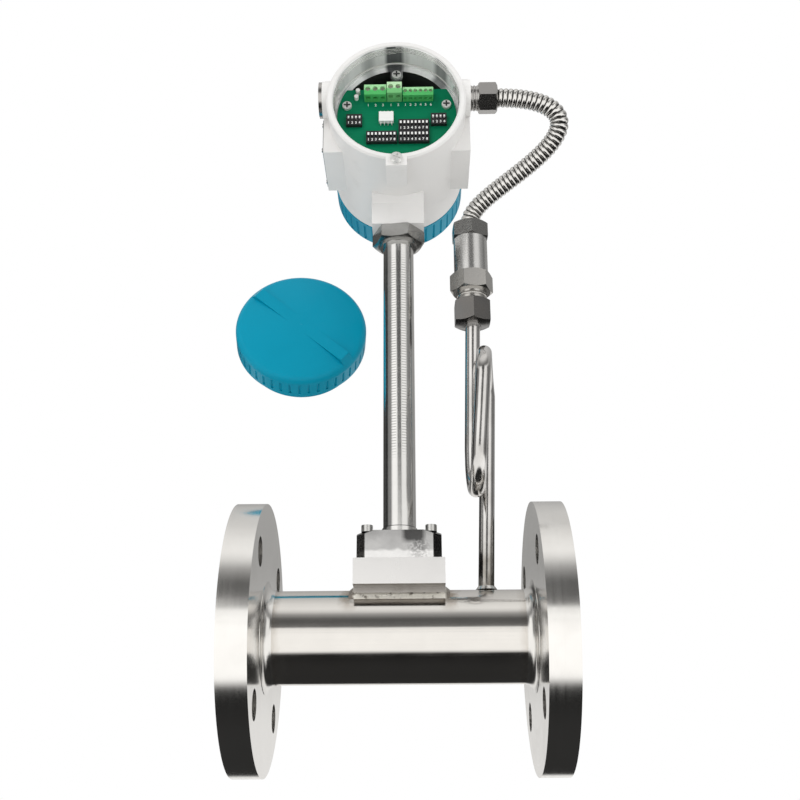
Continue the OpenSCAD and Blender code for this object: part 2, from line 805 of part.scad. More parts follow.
module gland_adapter() {
    color("gray") at_stem() translate([entry_x, -entry_y, entry_z]) difference() {
        union() {
            bar_x(-entry_thread, 1, entry_d / 2 - fit);
            bar_x(0, adapter_neck, entry_d / 2 + 0.6);
            bar_x(adapter_neck - 1, adapter_neck + 5.5, 7.3);
        }
        for (x = [adapter_neck * 0.3, adapter_neck * 0.7])
            translate([x, 0, 0]) rotate([0, 90, 0]) rotate_extrude()
                translate([entry_d / 2 + 0.9, 0]) circle(r = 0.8);
        bar_x(-entry_thread - 1, adapter_neck + 7, 4.5);
    }
}

// Head housing and what is fixed to its outside

// The lug under the front rim, which slopes into the wall behind
module lug() {
    end = -head_front + lug_l;
    slab_x(lug_w, [[-head_front, -head_r - lug_drop], [end - lug_ramp, -head_r - lug_drop],
        [end, -head_r + 1], [end, -head_r + 6], [-head_front, -head_r + 6]]);
}

// The square boss that the stem screws into, with a slope in front of it
module stem_boss() {
    front = -boss_l / 2;
    slab_x(boss_w, [[front, -head_r - boss_drop], [-front, -head_r - boss_drop],
        [-front, -head_r + 8], [front - boss_ramp, -head_r + 8],
        [front - boss_ramp, -head_r + 1], [front, -head_r - boss_ramp]]);
}

module head_housing() {
    color("lightgoldenrodyellow") difference() {
        union() {
            at_head() difference() {
                union() {
                    bar_y(-head_front + 1.2, head_rear, head_r);
                    cone_y(-head_front, -head_front + 1.2, head_r - 1.2, head_r);
                    translate([-pad_x, -pad_front, -pad_half_h])
                        cube([2 * pad_x, pad_front + pad_rear, 2 * pad_half_h]);
                    translate([0, -entry_y, entry_up])
                        bar_x(-entry_x, entry_x, entry_boss_d / 2);
                    lug();
                    stem_boss();
                }
                bar_y(-head_front - eps, board_y, mouth_r);
                cone_y(-head_front - 0.01, -head_front + 1, mouth_r + 1, mouth_r);
                bar_y(board_front - 3.4, board_front - 1, mouth_r + 1);
                bar_y(-head_front, web_front, chamber_r);
                bar_y(-web_y, head_rear, chamber_r);
                bar_y(head_rear - rear_depth, head_rear + eps, mouth_r);
                translate([0, -entry_y, entry_up])
                    bar_x(-entry_x - eps, entry_x + eps, entry_d / 2);
            }
            at_head() {
                for (x = [-1, 1]) translate([x * screw_x, 0, screw_up])
                    bar_y(board_y, web_front + 1, 4);
                translate([0, 0, top_screw_up]) bar_y(board_front, web_front + 1, 4.2);
                translate([-4.2, board_front, top_screw_up])
                    cube([8.4, web_front - board_front + 1, 4.8]);
                for (x = [-1, 1]) translate([x * display_screw_x, 0, 0])
                    bar_y(-web_y - 1, display_y, 3.6);
            }
        }
        at_stem() cylinder(h = stem_top, r = stem_r + fit);
        at_stem() cylinder(h = head_z - chamber_r + 1, r = stem_r - stem_wall);
        at_head() {
            for (x = [-1, 1]) translate([x * screw_x, 0, screw_up])
                bar_y(board_y - 1, board_y + screw_l + 1, 1.4 + fit);
            translate([0, 0, top_screw_up]) bar_y(board_front - 1, board_front + screw_l + 1, 1.4 + fit);
            for (x = [-1, 1]) translate([x * display_screw_x, 0, 0])
                bar_y(display_y - screw_l - 1, display_y + 1, 1.4 + fit);
            translate([pass_x, 0, pass_up]) bar_y(web_front - eps, -web_y + eps, pass_r);
            translate([0, 0, -head_r]) bar_y(-head_front - 1, -head_front + 10, 2 + fit);
        }
    }
}

module entry_plug() {
    color("silver") at_stem() translate([-entry_x, -entry_y, entry_z]) difference() {
        union() {
            bar_x(-plug_h, 0, entry_boss_d / 2 - 0.4);
            bar_x(-1, entry_thread, entry_d / 2 - fit);
        }
        translate([-plug_h - eps, 0, 0]) rotate([0, 90, 0])
            cylinder(h = 4, r = 4.6, $fn = 6);
    }
}

plate_w = pad_front + pad_rear - 4;
plate_h = 25;
plate_t = 0.6;

// Children stand at the four corners of the side plate, facing out of it
module at_plate_corners() {
    for (y = [-pad_front + 4.6, pad_rear - 4.6]) for (z = [2.6, plate_h - 2.6])
        translate([-pad_x - plate_t, y, z - pad_half_h + 2]) children();
}

module side_plate() {
    color("dimgray") at_head() difference() {
        translate([-pad_x - plate_t, -pad_front + 2, -pad_half_h + 2])
            cube([plate_t, plate_w, plate_h]);
        at_plate_corners() bar_x(-1, 2, 0.9 + fit);
    }
}

module plate_rivets() {
    color("silver") at_head() at_plate_corners() union() {
        bar_x(-0.7, 0, 1.5);
        bar_x(-0.4, plate_t - 0.02, 0.9);
    }
}

module earth_screw() {
    color("silver") at_head() translate([0, -head_front, -head_r]) difference() {
        union() {
            cone_y(-earth_head_h, -earth_head_h + 1, earth_head_d / 2 - 0.9, earth_head_d / 2);
            bar_y(-earth_head_h + 1, 0, earth_head_d / 2);
            bar_y(-1, 9, 2);
        }
        for (a = [0, 90]) rotate([0, a + 20, 0])
            translate([-2.6, -earth_head_h - 1, -0.5]) cube([5.2, 2.2, 1]);
    }
}

// Covers

// Rim and spigot shared by both covers: face side at y = 0, spigot towards +Y
module cover_shell(depth, edge) {
    seal_y = depth + seal_inset;
    rib_y = edge + 1;
    difference() {
        union() {
            bar_y(0, edge + 1, cover_r - edge);
            translate([0, edge, 0]) rotate([-90, 0, 0]) rotate_extrude()
                translate([cover_r - edge, 0]) circle(r = edge);
            bar_y(edge, depth, cover_r);
            bar_y(depth - 1, depth + spigot_l, spigot_r);
        }
        bar_y(face_t, depth + spigot_l + eps, cover_inner_r);
        for (i = [0 : rib_count - 1]) rotate([0, i * 360 / rib_count, 0])
            translate([cover_r + 0.2, rib_y, 0]) rotate([-90, 0, 0])
                cylinder(h = depth - rib_y - 2.4, r = rib_r, $fn = 6);
        translate([0, seal_y - seal_d / 2 - 0.2, 0]) rotate([-90, 0, 0]) difference() {
            cylinder(h = seal_d + 0.4, r = spigot_r + 1);
            translate([0, 0, -eps])
                cylinder(h = seal_d + 0.4 + 2 * eps, r = spigot_r - seal_d - 0.02);
        }
    }
}

// Seal in the groove of a cover whose face side is at y = 0
module cover_seal(depth) {
    translate([0, depth + seal_inset, 0]) rotate([-90, 0, 0]) rotate_extrude()
        translate([spigot_r - seal_d / 2, 0]) circle(r = seal_d / 2);
}

// Children face the viewer at the loose cover's place
module at_loose_cover() {
    translate([mid_x + loose_x, loose_y, loose_z])
        rotate([-loose_lean, 0, loose_turn]) children();
}

// Children face the rear on the head
module at_rear_cover() {
    translate([mid_x, head_rear + play + cover_depth, head_z]) mirror([0, 1, 0]) children();
}

module front_cover() {
    flat_r = cover_r - cap_round + 0.5;
    dome_r = (flat_r * flat_r + dome_rise * dome_rise) / (2 * dome_rise);
    dome = [for (i = [0 : 8]) let (r = flat_r * i / 8)
        [r, sqrt(dome_r * dome_r - r * r) - dome_r + dome_rise]];
    color("darkcyan") at_loose_cover() union() {
        cover_shell(cap_depth, cap_round);
        rotate([90, 0, 0]) rotate_extrude()
            polygon(concat([[0, -1]], dome, [[flat_r - 0.5, -1]]));
        intersection() {
            cone_y(-dome_rise, 2, flat_r - 1, cover_r - 1);
            rotate([0, grip_turn, 0])
                translate([-cover_r, -dome_rise + 0.15, -grip_w / 2])
                    cube([2 * cover_r, dome_rise + 1.5, grip_w]);
        }
    }
}

module front_cover_seal() {
    color("black") at_loose_cover() cover_seal(cap_depth);
}

module rear_cover() {
    color("darkcyan") at_rear_cover() difference() {
        union() {
            cover_shell(cover_depth, seam_round);
            bar_y(face_t - 1, face_t + glass_t + window_ring_h, cover_r - 3);
        }
        bar_y(-eps, face_t + 1, window_r);
        cone_y(-eps, 2, window_r + 2.5, window_r);
        bar_y(face_t, face_t + glass_t + window_ring_h + eps, window_seat_r);
    }
}

module rear_cover_seal() {
    color("black") at_rear_cover() cover_seal(cover_depth);
}

module window_glass() {
    color("lightblue", 0.5) at_rear_cover()
        bar_y(face_t, face_t + glass_t, window_seat_r - fit);
}

module window_ring() {
    color("silver") at_rear_cover() translate([0, face_t + glass_t, 0]) difference() {
        bar_y(0, window_ring_h, window_seat_r - fit);
        bar_y(-eps, window_ring_h + eps, window_r + 0.5);
    }
}

// Display

// Children stand at the two display screws
module at_display_screws() {
    for (x = [-1, 1]) translate([x * display_screw_x, 0, 0]) children();
}

module display_board() {
    seat_h_y = display_front + key_seat_h;
    color("darkgreen") at_head() difference() {
        union() {
            bar_y(display_y, display_front, display_board_r);
            for (i = [-1, 0, 1]) translate([i * key_gap, display_front - 0.1, key_z])
                translate([-key_seat_w / 2, 0, -key_seat_w / 2])
                    cube([key_seat_w, key_seat_h + 0.1, key_seat_w]);
        }
        for (i = [-1, 0, 1]) translate([i * key_gap, 0, key_z])
            bar_y(display_front + 0.4, seat_h_y + eps, key_d / 2 + fit);
        at_display_screws() bar_y(display_y - eps, display_front + eps, 1.6);
    }
}

module display_screen() {
    color("black") at_head() translate([-screen_w / 2, display_front, screen_up - screen_h / 2])
        difference() {
            cube([screen_w, screen_t, screen_h]);
            translate([3, screen_t - 0.8, 3]) cube([screen_w - 6, 2, screen_h - 6]);
        }
}

module display_screws() {
    color("silver") at_head() at_display_screws() union() {
        bar_y(display_front, display_front + 1.8, 2.6);
        bar_y(display_front - screw_l, display_front + 0.5, 1.4);
    }
}

// One of the three keys, counted from -1 to 1
module display_key(i) {
    foot = display_front + 0.5 + key_travel;
    color("orange") at_head() translate([i * key_gap, 0, key_z]) union() {
        bar_y(foot, display_front + key_top, key_d / 2);
    }
}

module display_key_1() {
    display_key(-1);
}

module display_key_2() {
    display_key(0);
}

module display_key_3() {
    display_key(1);
}

// Terminal compartment

module terminal_board() {
    board_r = mouth_r - 1.4;
    color("seagreen") at_head() difference() {
        intersection() {
            bar_y(board_front, board_y, board_r);
            translate([-board_r, board_front - 1, -board_r])
                cube([2 * board_r, board_t + 2, board_r + board_flat]);
        }
        for (x = [-1, 1]) translate([x * screw_x, 0, screw_up])
            bar_y(board_front - 1, board_y + 1, 1.6);
    }
}

module board_screw() {
    difference() {
        union() {
            bar_y(-1.8, 0, screw_head_d / 2);
            bar_y(-0.5, screw_l, 1.4);
        }
        for (a = [0, 90]) rotate([0, a, 0])
            translate([-1.7, -3, -0.35]) cube([3.4, 2, 0.7]);
    }
}

module board_screws() {
    color("silver") at_head() {
        for (x = [-1, 1]) translate([x * screw_x, board_front, screw_up]) board_screw();
        translate([0, board_front, top_screw_up]) board_screw();
    }
}

// A terminal block: count ways from x1, with screw wells in front and wire mouths below
module terminal_block(x1, count, pitch, depth, height) {
    well_r = pitch * 0.36;
    mouth = pitch * 0.58;
    color("limegreen") at_head() difference() {
        translate([x1, board_front - depth, terminal_foot])
            cube([count * pitch, depth, height]);
        for (i = [0 : count - 1]) translate([x1 + (i + 0.5) * pitch, 0, terminal_foot]) {
            translate([0, 0, height * 0.6])
                bar_y(board_front - depth - eps, board_front - depth + 2.4, well_r);
            translate([-mouth / 2, board_front - depth + 2.8, -eps])
                cube([mouth, mouth, 3 + eps]);
        }
    }
}

// The screws of one terminal block
module block_screws(x1, count, pitch, depth, height) {
    for (i = [0 : count - 1])
        translate([x1 + (i + 0.5) * pitch, board_front - depth + 1.1,
            terminal_foot + height * 0.6]) difference() {
            bar_y(0, 1.28, pitch * 0.36 - fit);
            rotate([0, 25 + 40 * i, 0]) translate([-pitch, -1, -0.25])
                cube([2 * pitch, 1.5, 0.5]);
        }
}

block_3 = [-22.2, 3, pitch_large, 8.8, 8.1];
block_2 = [-6.5, 2, pitch_large, 10.4, 9];
block_6 = [4.3, 6, pitch_small, 7.4, 6.6];

module terminal_block_3() {
    terminal_block(block_3[0], block_3[1], block_3[2], block_3[3], block_3[4]);
}

module terminal_block_2() {
    terminal_block(block_2[0], block_2[1], block_2[2], block_2[3], block_2[4]);
}

module terminal_block_6() {
    terminal_block(block_6[0], block_6[1], block_6[2], block_6[3], block_6[4]);
}

module terminal_screws() {
    color("gold") at_head() for (b = [block_3, block_2, block_6])
        block_screws(b[0], b[1], b[2], b[3], b[4]);
}

slider_w = 1.1;
slider_h = 1.5;
slot_deep = 1.4;

// A bank of slide switches, its middle at x and z from the head's axis
module switch_bank(x, z, count, loose) {
    w = count * switch_pitch + 0.6;
    slot_h = slider_h + switch_travel + 0.1;
    color("black") at_head() translate([x, board_front - switch_t, z]) {
        difference() {
            translate([-w / 2, 0, -switch_h / 2]) cube([w, switch_t, switch_h]);
            for (i = [0 : count - 1])
                translate([(i - (count - 1) / 2) * switch_pitch - slider_w / 2 - fit,
                    -eps, 2.6 - slot_h + 0.05])
                    cube([slider_w + 2 * fit, slot_deep + eps, slot_h]);
        }
        if (!loose) for (i = [0 : count - 1])
            translate([(i - (count - 1) / 2) * switch_pitch - slider_w / 2 - 2 * fit,
                -0.5, 2.6 - slider_h])
                cube([slider_w + 4 * fit, slot_deep + 1, slider_h]);
    }
}

bank_left = [-29.2, -3.6];
bank_right = [28.8, -3.6];
bank_low = [-10.4, -17.4];
bank_upper = [11.7, -8.3];
bank_lower = [11.7, -17.4];

module switch_bank_left() {
    switch_bank(bank_left[0], bank_left[1], 4, true);
}

module switch_bank_right() {
    switch_bank(bank_right[0], bank_right[1], 4, true);
}

module switch_bank_low() {
    switch_bank(bank_low[0], bank_low[1], 8, false);
}

module switch_bank_upper() {
    switch_bank(bank_upper[0], bank_upper[1], 8, false);
}

module switch_bank_lower() {
    switch_bank(bank_lower[0], bank_lower[1], 8, false);
}

// Slider number i of a four-way bank, in its upper place
module slider(bank, i) {
    color("white") at_head()
        translate([bank[0] + (i - 1.5) * switch_pitch - slider_w / 2,
            board_front - switch_t - 0.5, bank[1] + 2.6 - slider_h])
            cube([slider_w, slot_deep + 0.5 - fit, slider_h]);
}

module slider_l1() {
    slider(bank_left, 0);
}

module slider_l2() {
    slider(bank_left, 1);
}

module slider_l3() {
    slider(bank_left, 2);
}

module slider_l4() {
    slider(bank_left, 3);
}

module slider_r1() {
    slider(bank_right, 0);
}

module slider_r2() {
    slider(bank_right, 1);
}

module slider_r3() {
    slider(bank_right, 2);
}

module slider_r4() {
    slider(bank_right, 3);
}

module isolation_module() {
    w = 10;
    h = 7.6;
    color("ivory") at_head() translate([-7.2, board_front, -1.6]) {
        translate([-w / 2, -3.6, -h / 2]) cube([w, 3.2, h]);
        for (i = [0 : 3]) for (s = [-1, 1])
            translate([(i - 1.5) * 2.54 - 0.3, -2.2, s * (h / 2 + 0.6) - 0.7])
                cube([0.6, 2.2, 1.4]);
    }
}

module capacitors() {
    color("white") at_head() for (p = [[-26.7, 19.4, 4.4], [-27.8, 15.2, 3.4]])
        translate([p[0], 0, p[1]]) bar_y(board_front - p[2], board_front, 1.5);
}

flow_tube();
inlet_flange();
outlet_flange();
weld_beads();
shedder_bar();
sensor_seat();
sensor_gasket();
vortex_probe();
bonnet();
bonnet_bolts();
stem();
stem_lock_nut();
signal_lead();
siphon_tube();
siphon_ferrule();
compression_nut();
sensor_base();
pressure_sensor();
conduit_lower_nut();
flexible_conduit();
conduit_upper_nut();
gland_adapter();
head_housing();
entry_plug();
side_plate();
plate_rivets();
earth_screw();
front_cover();
front_cover_seal();
rear_cover();
rear_cover_seal();
window_glass();
window_ring();
display_board();
display_screen();
display_screws();
display_key_1();
display_key_2();
display_key_3();
terminal_board();
board_screws();
terminal_block_3();
terminal_block_2();
terminal_block_6();
terminal_screws();
switch_bank_left();
switch_bank_right();
switch_bank_low();
switch_bank_upper();
switch_bank_lower();
isolation_module();
capacitors();
slider_l1();
slider_l2();
slider_l3();
slider_l4();
slider_r1();
slider_r2();
slider_r3();
slider_r4();
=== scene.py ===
"""Looks of a vortex flow meter with a pressure sensor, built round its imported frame.

The pipe lies along X, the display looks to +Y and the stem stands along +Z. Lengths
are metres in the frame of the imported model, and angles are degrees.
"""

import logging
import math
import random
from dataclasses import dataclass, field
from enum import Enum
from functools import lru_cache
from typing import Callable, Iterable, Optional, Sequence, Union

import bmesh
import bpy
from mathutils import Matrix, Vector


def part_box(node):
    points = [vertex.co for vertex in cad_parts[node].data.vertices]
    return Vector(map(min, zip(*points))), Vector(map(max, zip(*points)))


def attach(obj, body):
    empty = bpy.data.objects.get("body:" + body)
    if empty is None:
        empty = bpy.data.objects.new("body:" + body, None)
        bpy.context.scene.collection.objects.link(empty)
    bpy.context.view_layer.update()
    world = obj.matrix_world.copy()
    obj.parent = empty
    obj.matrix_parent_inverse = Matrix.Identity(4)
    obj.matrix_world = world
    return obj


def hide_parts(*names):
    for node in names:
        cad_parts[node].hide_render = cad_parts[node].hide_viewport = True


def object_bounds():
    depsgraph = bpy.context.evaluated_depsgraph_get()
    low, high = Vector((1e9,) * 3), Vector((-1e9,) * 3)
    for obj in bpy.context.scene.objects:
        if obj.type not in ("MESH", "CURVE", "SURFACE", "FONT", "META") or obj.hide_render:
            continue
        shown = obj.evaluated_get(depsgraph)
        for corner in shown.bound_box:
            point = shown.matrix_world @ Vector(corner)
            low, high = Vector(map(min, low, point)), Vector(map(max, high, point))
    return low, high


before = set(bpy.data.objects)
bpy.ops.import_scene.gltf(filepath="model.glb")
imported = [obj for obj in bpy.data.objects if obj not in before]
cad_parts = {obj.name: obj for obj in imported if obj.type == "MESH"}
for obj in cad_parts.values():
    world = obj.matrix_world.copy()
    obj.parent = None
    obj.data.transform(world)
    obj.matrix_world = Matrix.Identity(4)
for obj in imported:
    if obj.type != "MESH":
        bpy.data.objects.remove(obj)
CAD_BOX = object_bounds()
LOG = logging.getLogger("flow_meter")
# One millimetre, and the side of the photograph in pixels
MM = 0.001
PICTURE = 800

Colour = tuple[float, float, float]
Place = tuple[float, float, float]
Bands = tuple[tuple[float, float, float, float], ...]
Greys = tuple[tuple[float, float], ...]
Stops = Sequence[tuple[float, Sequence[float]]]
Value = Union[float, int, bool, str, Sequence[float], bpy.types.ID, "Sock"]
Values = dict[Union[int, str], Value]


def operator(operation: str, reflected: bool = False) -> Callable[["Sock", Value], "Sock"]:
    """An operator of Sock, which adds one Math node.

    Args:
        operation: The node's operation.
        reflected: True where the plain number stands first.

    Returns:
        The operator's method.
    """
    def method(self: "Sock", other: Value) -> "Sock":
        """The node's result for this socket and another value."""
        first, second = (other, self) if reflected else (self, other)
        return self.maths(operation, first, second)
    return method


class Sock:
    """A node's output that arithmetic can be written on."""

    __add__ = operator("ADD")
    __radd__ = operator("ADD", reflected=True)
    __sub__ = operator("SUBTRACT")
    __rsub__ = operator("SUBTRACT", reflected=True)
    __mul__ = operator("MULTIPLY")
    __rmul__ = operator("MULTIPLY", reflected=True)
    __truediv__ = operator("DIVIDE")
    __rtruediv__ = operator("DIVIDE", reflected=True)
    __pow__ = operator("POWER")
    __gt__ = operator("GREATER_THAN")
    __lt__ = operator("LESS_THAN")

    def __init__(self, graph: "Graph", out: bpy.types.NodeSocket) -> None:
        """Keeps the output and the graph that it belongs to."""
        self.graph = graph
        self.out = out

    def maths(self, operation: str, left: Value, right: Value = 0.0) -> "Sock":
        """Adds one Math node.

        Args:
            operation: The node's operation.
            left: Its first value.
            right: Its second value.

        Returns:
            The node's result.
        """
        return self.graph.sock("ShaderNodeMath", {"operation": operation}, {0: left, 1: right})

    def __neg__(self) -> "Sock":
        """Opposite."""
        return self.maths("MULTIPLY", self, -1.0)

    def __abs__(self) -> "Sock":
        """Size without sign."""
        return self.maths("ABSOLUTE", self)

    def sine(self) -> "Sock":
        """Sine of an angle in radians."""
        return self.maths("SINE", self)

    def root(self) -> "Sock":
        """Square root."""
        return self.maths("SQRT", self)

    def fraction(self) -> "Sock":
        """What is left after the whole number."""
        return self.maths("FRACT", self)

    def angle(self, other: Value) -> "Sock":
        """Degrees of the direction whose sine side is this and cosine side is other."""
        return self.maths("ARCTAN2", self, other) * (180 / math.pi)

    def limited(self) -> "Sock":
        """This value held between nought and one."""
        return self.maths("MAXIMUM", self.maths("MINIMUM", self, 1.0), 0.0)

    def within(self, middle: float, half: Value, soft: float) -> "Sock":
        """A band mask.

        Args:
            middle: Middle of the band.
            half: Half of its width.
            soft: Width over which its edges fade.

        Returns:
            One inside the band and nought outside.
        """
        return ((half + soft / 2 - abs(self - middle)) / soft).limited()

    def bands(self, bands: Bands) -> "Sock":
        """The sum of several band masks.

        Args:
            bands: Middle, half width, width of the fading edges and strength of each.

        Returns:
            The sum.
        """
        return sum(self.within(middle, half, soft) * strength
                   for middle, half, soft, strength in bands)

    def past(self, edge: float, soft: float) -> "Sock":
        """A mask that rises from nought to one round an edge, over the width soft."""
        return ((self - (edge - soft / 2)) / soft).limited()

    def short_of(self, edge: float, soft: float) -> "Sock":
        """A mask that falls from one to nought round an edge, over the width soft."""
        return 1 - self.past(edge, soft)


class Graph:
    """A node tree that one method fills."""

    def __init__(self, tree: bpy.types.NodeTree) -> None:
        """Keeps the tree."""
        self.tree = tree

    def add(self, kind: str, settings: Optional[dict] = None,
            values: Optional[Values] = None) -> bpy.types.Node:
        """Adds one node.

        Args:
            kind: The node's type.
            settings: Its own settings, set first; stops holds a ramp's places and colours.
            values: Values or links of its inputs, by name or number.

        Returns:
            The node.
        """
        node = self.tree.nodes.new(kind)
        for name, value in (settings or {}).items():
            if name == "stops":
                self.fill(node.color_ramp, value)
            else:
                setattr(node, name, value)
        for key, value in (values or {}).items():
            if isinstance(value, Sock):
                self.tree.links.new(value.out, node.inputs[key])
            else:
                node.inputs[key].default_value = value
        return node

    def sock(self, kind: str, settings: Optional[dict] = None, values: Optional[Values] = None,
             out: Union[int, str] = 0) -> Sock:
        """Adds one node and gives one of its outputs, by name or number."""
        return Sock(self, self.add(kind, settings, values).outputs[out])

    @staticmethod
    def fill(ramp: bpy.types.ColorRamp, stops: Stops) -> None:
        """Sets a ramp's stops.

        Args:
            ramp: The ramp.
            stops: A place and a colour for each stop, in rising order.
        """
        while len(ramp.elements) < len(stops):
            ramp.elements.new(1.0)
        for element, (place, colour) in zip(ramp.elements, stops):
            element.position = place
            element.color = (*colour, 1.0)

    def parts(self, vector: Sock) -> tuple[Sock, Sock, Sock]:
        """The three numbers of a vector."""
        node = self.add("ShaderNodeSeparateXYZ", None, {0: vector})
        return tuple(Sock(self, out) for out in node.outputs)

    def vector(self, x: Value, y: Value, z: Value) -> Sock:
        """A vector from three numbers."""
        return self.sock("ShaderNodeCombineXYZ", None, {0: x, 1: y, 2: z})


class ShaderGraph(Graph):
    """A surface's or the room's node tree."""

    def __init__(self, tree: bpy.types.NodeTree, coordinates: str) -> None:
        """Empties the tree and takes its coordinates.

        Args:
            tree: The node tree.
            coordinates: The output of Texture Coordinate that patterns follow.
        """
        tree.nodes.clear()
        super().__init__(tree)
        self.place = self.sock("ShaderNodeTexCoord", None, None, coordinates)
        self.x, self.y, self.z = self.parts(self.place)

    def noise(self, scale: float, detail: float = 2.0, at: Optional[Sock] = None) -> Sock:
        """Cloudy noise from nought to one.

        Args:
            scale: Clouds in each metre.
            detail: Steps of finer noise.
            at: Coordinates, or the place on the object.

        Returns:
            The noise.
        """
        return self.sock("ShaderNodeTexNoise", {"noise_dimensions": "3D"},
                         {"Vector": at or self.place, "Scale": scale, "Detail": detail}, "Fac")

    def mix(self, share: Value, first: Value, second: Value) -> Sock:
        """Mixes two colours by a share."""
        sides = {key: value if isinstance(value, Sock) else (*value, 1.0)
                 for key, value in ((6, first), (7, second))}
        return self.sock("ShaderNodeMix", {"data_type": "RGBA"}, {0: share, **sides}, 2)

    def ramp(self, value: Sock, stops: Stops) -> Sock:
        """A colour from a value by stops."""
        return self.sock("ShaderNodeValToRGB", {"stops": stops}, {0: value}, 0)

    def radius(self, first: Sock, second: Sock) -> Sock:
        """Distance from an axis whose two offsets are given."""
        return (first * first + second * second).root()

    def bump(self, height: Sock, strength: float, distance: float,
             under: Optional[Sock] = None) -> Sock:
        """A normal raised by a height.

        Args:
            height: Height from nought to one.
            strength: How much of it is used.
            distance: Its size in metres.
            under: A normal that it is added to.

        Returns:
            The normal.
        """
        values = {"Height": height, "Strength": strength, "Distance": distance}
        if under:
            values["Normal"] = under
        return self.sock("ShaderNodeBump", None, values)

    def surface(self, values: Values) -> None:
        """Closes the tree with one Principled shader that has these values."""
        shader = self.sock("ShaderNodeBsdfPrincipled", None, values)
        self.add("ShaderNodeOutputMaterial", None, {0: shader})


class Grain(Enum):
    """Direction of the fine marks that a tool leaves on metal."""

    NONE = "none"
    ALONG_X = "drawn along the pipe"
    TURNED_X = "turned round the pipe's axis"
    TURNED_Z = "turned round an upright axis"
    TURNED_Y = "turned round the head's axis"


@dataclass(frozen=True)
class Finish:
    """What every finish has."""

    name: str
    colour: Colour
    roughness: float

    def values(self, graph: ShaderGraph) -> Values:
        """The values of the finish's Principled shader."""
        raise NotImplementedError

    def clouded(self, graph: ShaderGraph, share: Value, dull: float) -> Sock:
        """The colour, darker by the factor dull where the share is nought."""
        return graph.mix(share, tuple(part * dull for part in self.colour), self.colour)


@lru_cache(maxsize=None)
def material_of(finish: Finish) -> bpy.types.Material:
    """The material of a finish, made once.

    Args:
        finish: The finish.

    Returns:
        Its material.
    """
    material = bpy.data.materials.new(finish.name)
    material.use_nodes = True
    graph = ShaderGraph(material.node_tree, "Object")
    graph.surface(finish.values(graph))
    return material


@dataclass(frozen=True)
class Metal(Finish):
    """Bare metal with tool marks, faint clouds, hand-polished waves and brown handling marks."""

    grain: Grain = Grain.NONE
    axis: tuple[float, float] = (0.0, 0.0)
    pitch: float = 0.9 * MM
    depth: float = 0.02 * MM
    dull: float = 0.84
    wave: float = 0.0
    swell: float = 60.0
    stain: float = 0.15
    stain_colour: Colour = (0.33, 0.27, 0.21)
    squeeze: float = 0.012
    mark_swing: float = 0.1
    cloud_swing: float = 0.08

    def marks(self, graph: ShaderGraph) -> Sock:
        """The coordinates along which the tool marks run.

        Args:
            graph: The material's tree.

        Returns:
            The coordinates.
        """
        if self.grain is Grain.NONE:
            return graph.place
        if self.grain is Grain.ALONG_X:
            return graph.vector(graph.x * self.squeeze, graph.y, graph.z)
        if self.grain is Grain.TURNED_X:
            return graph.vector(graph.x, graph.radius(graph.y, graph.z), 0.0)
        first = graph.x - self.axis[0]
        if self.grain is Grain.TURNED_Z:
            return graph.vector(graph.z, graph.radius(first, graph.y - self.axis[1]), 0.0)
        return graph.vector(graph.y, graph.radius(first, graph.z - self.axis[1]), 0.0)

    def handling(self, graph: ShaderGraph) -> Sock:
        """The faint marks that hands leave."""
        return graph.noise(38.0, 4.0).past(0.62, 0.3) * self.stain

    def stains(self, graph: ShaderGraph) -> Sock:
        """Where the metal is stained, from nought to one."""
        return self.handling(graph)

    def relief(self, graph: ShaderGraph, marks: Sock) -> Sock:
        """The normal that the tool marks and the polishing waves leave.

        Args:
            graph: The material's tree.
            marks: Height of the tool marks.

        Returns:
            The normal.
        """
        fine = graph.bump(marks, 0.3, self.depth)
        if not self.wave:
            return fine
        return graph.bump(graph.noise(self.swell, 0.0), 1.0, self.wave, fine)

    def values(self, graph: ShaderGraph) -> Values:
        """Clouded metal with its marks and stains.

        Args:
            graph: The material's tree.

        Returns:
            The shader's values.
        """
        marks = graph.noise(1 / self.pitch, 2.0, self.marks(graph))
        cloud = graph.noise(55.0, 3.0)
        bare = self.clouded(graph, cloud * 0.7 + marks * 0.3, self.dull)
        uneven = (marks - 0.5) * self.mark_swing + (cloud - 0.5) * self.cloud_swing
        return {
            "Base Color": graph.mix(self.stains(graph), bare, self.stain_colour),
            "Metallic": 1.0,
            "Roughness": self.roughness + uneven,
            "Normal": self.relief(graph, marks),
        }


@dataclass(frozen=True)
class TintedTube(Metal):
    """Polished pipe with heat tint where the seat, the siphon and the flanges are welded on."""

    middle: float = 102 * MM
    seat_half: float = 28 * MM
    flange_tints: tuple[float, float] = (27 * MM, 177 * MM)
    siphon: float = 156 * MM
    siphon_reach: float = 8.5 * MM
    crown: float = 16 * MM
    ragged: float = 12 * MM
    fade: float = 5 * MM

    def stains(self, graph: ShaderGraph) -> Sock:
        """Brown at the seat's weld and the siphon's foot and a straw edge at the flanges.

        Args:
            graph: The material's tree.

        Returns:
            The stains, from nought to one.
        """
        ragged = (graph.noise(160.0, 4.0) - 0.5) * self.ragged
        top = graph.z.past(self.crown, 12 * MM)
        seat = abs(graph.x - self.middle) - self.seat_half + ragged
        near_seat = seat.within(2.5 * MM, 3.5 * MM, self.fade)
        foot = graph.radius(graph.x - self.siphon, graph.y) + ragged * 0.5
        near_foot = foot.short_of(self.siphon_reach, 4 * MM)
        straw = (graph.x + ragged * 0.4).bands(
            tuple((edge, 1.5 * MM, self.fade, 0.3) for edge in self.flange_tints))
        spots = graph.noise(420.0, 2.0).past(0.76, 0.06)
        return ((near_seat * 0.85 + near_foot * 0.8 + spots * 0.5) * top + straw).limited()


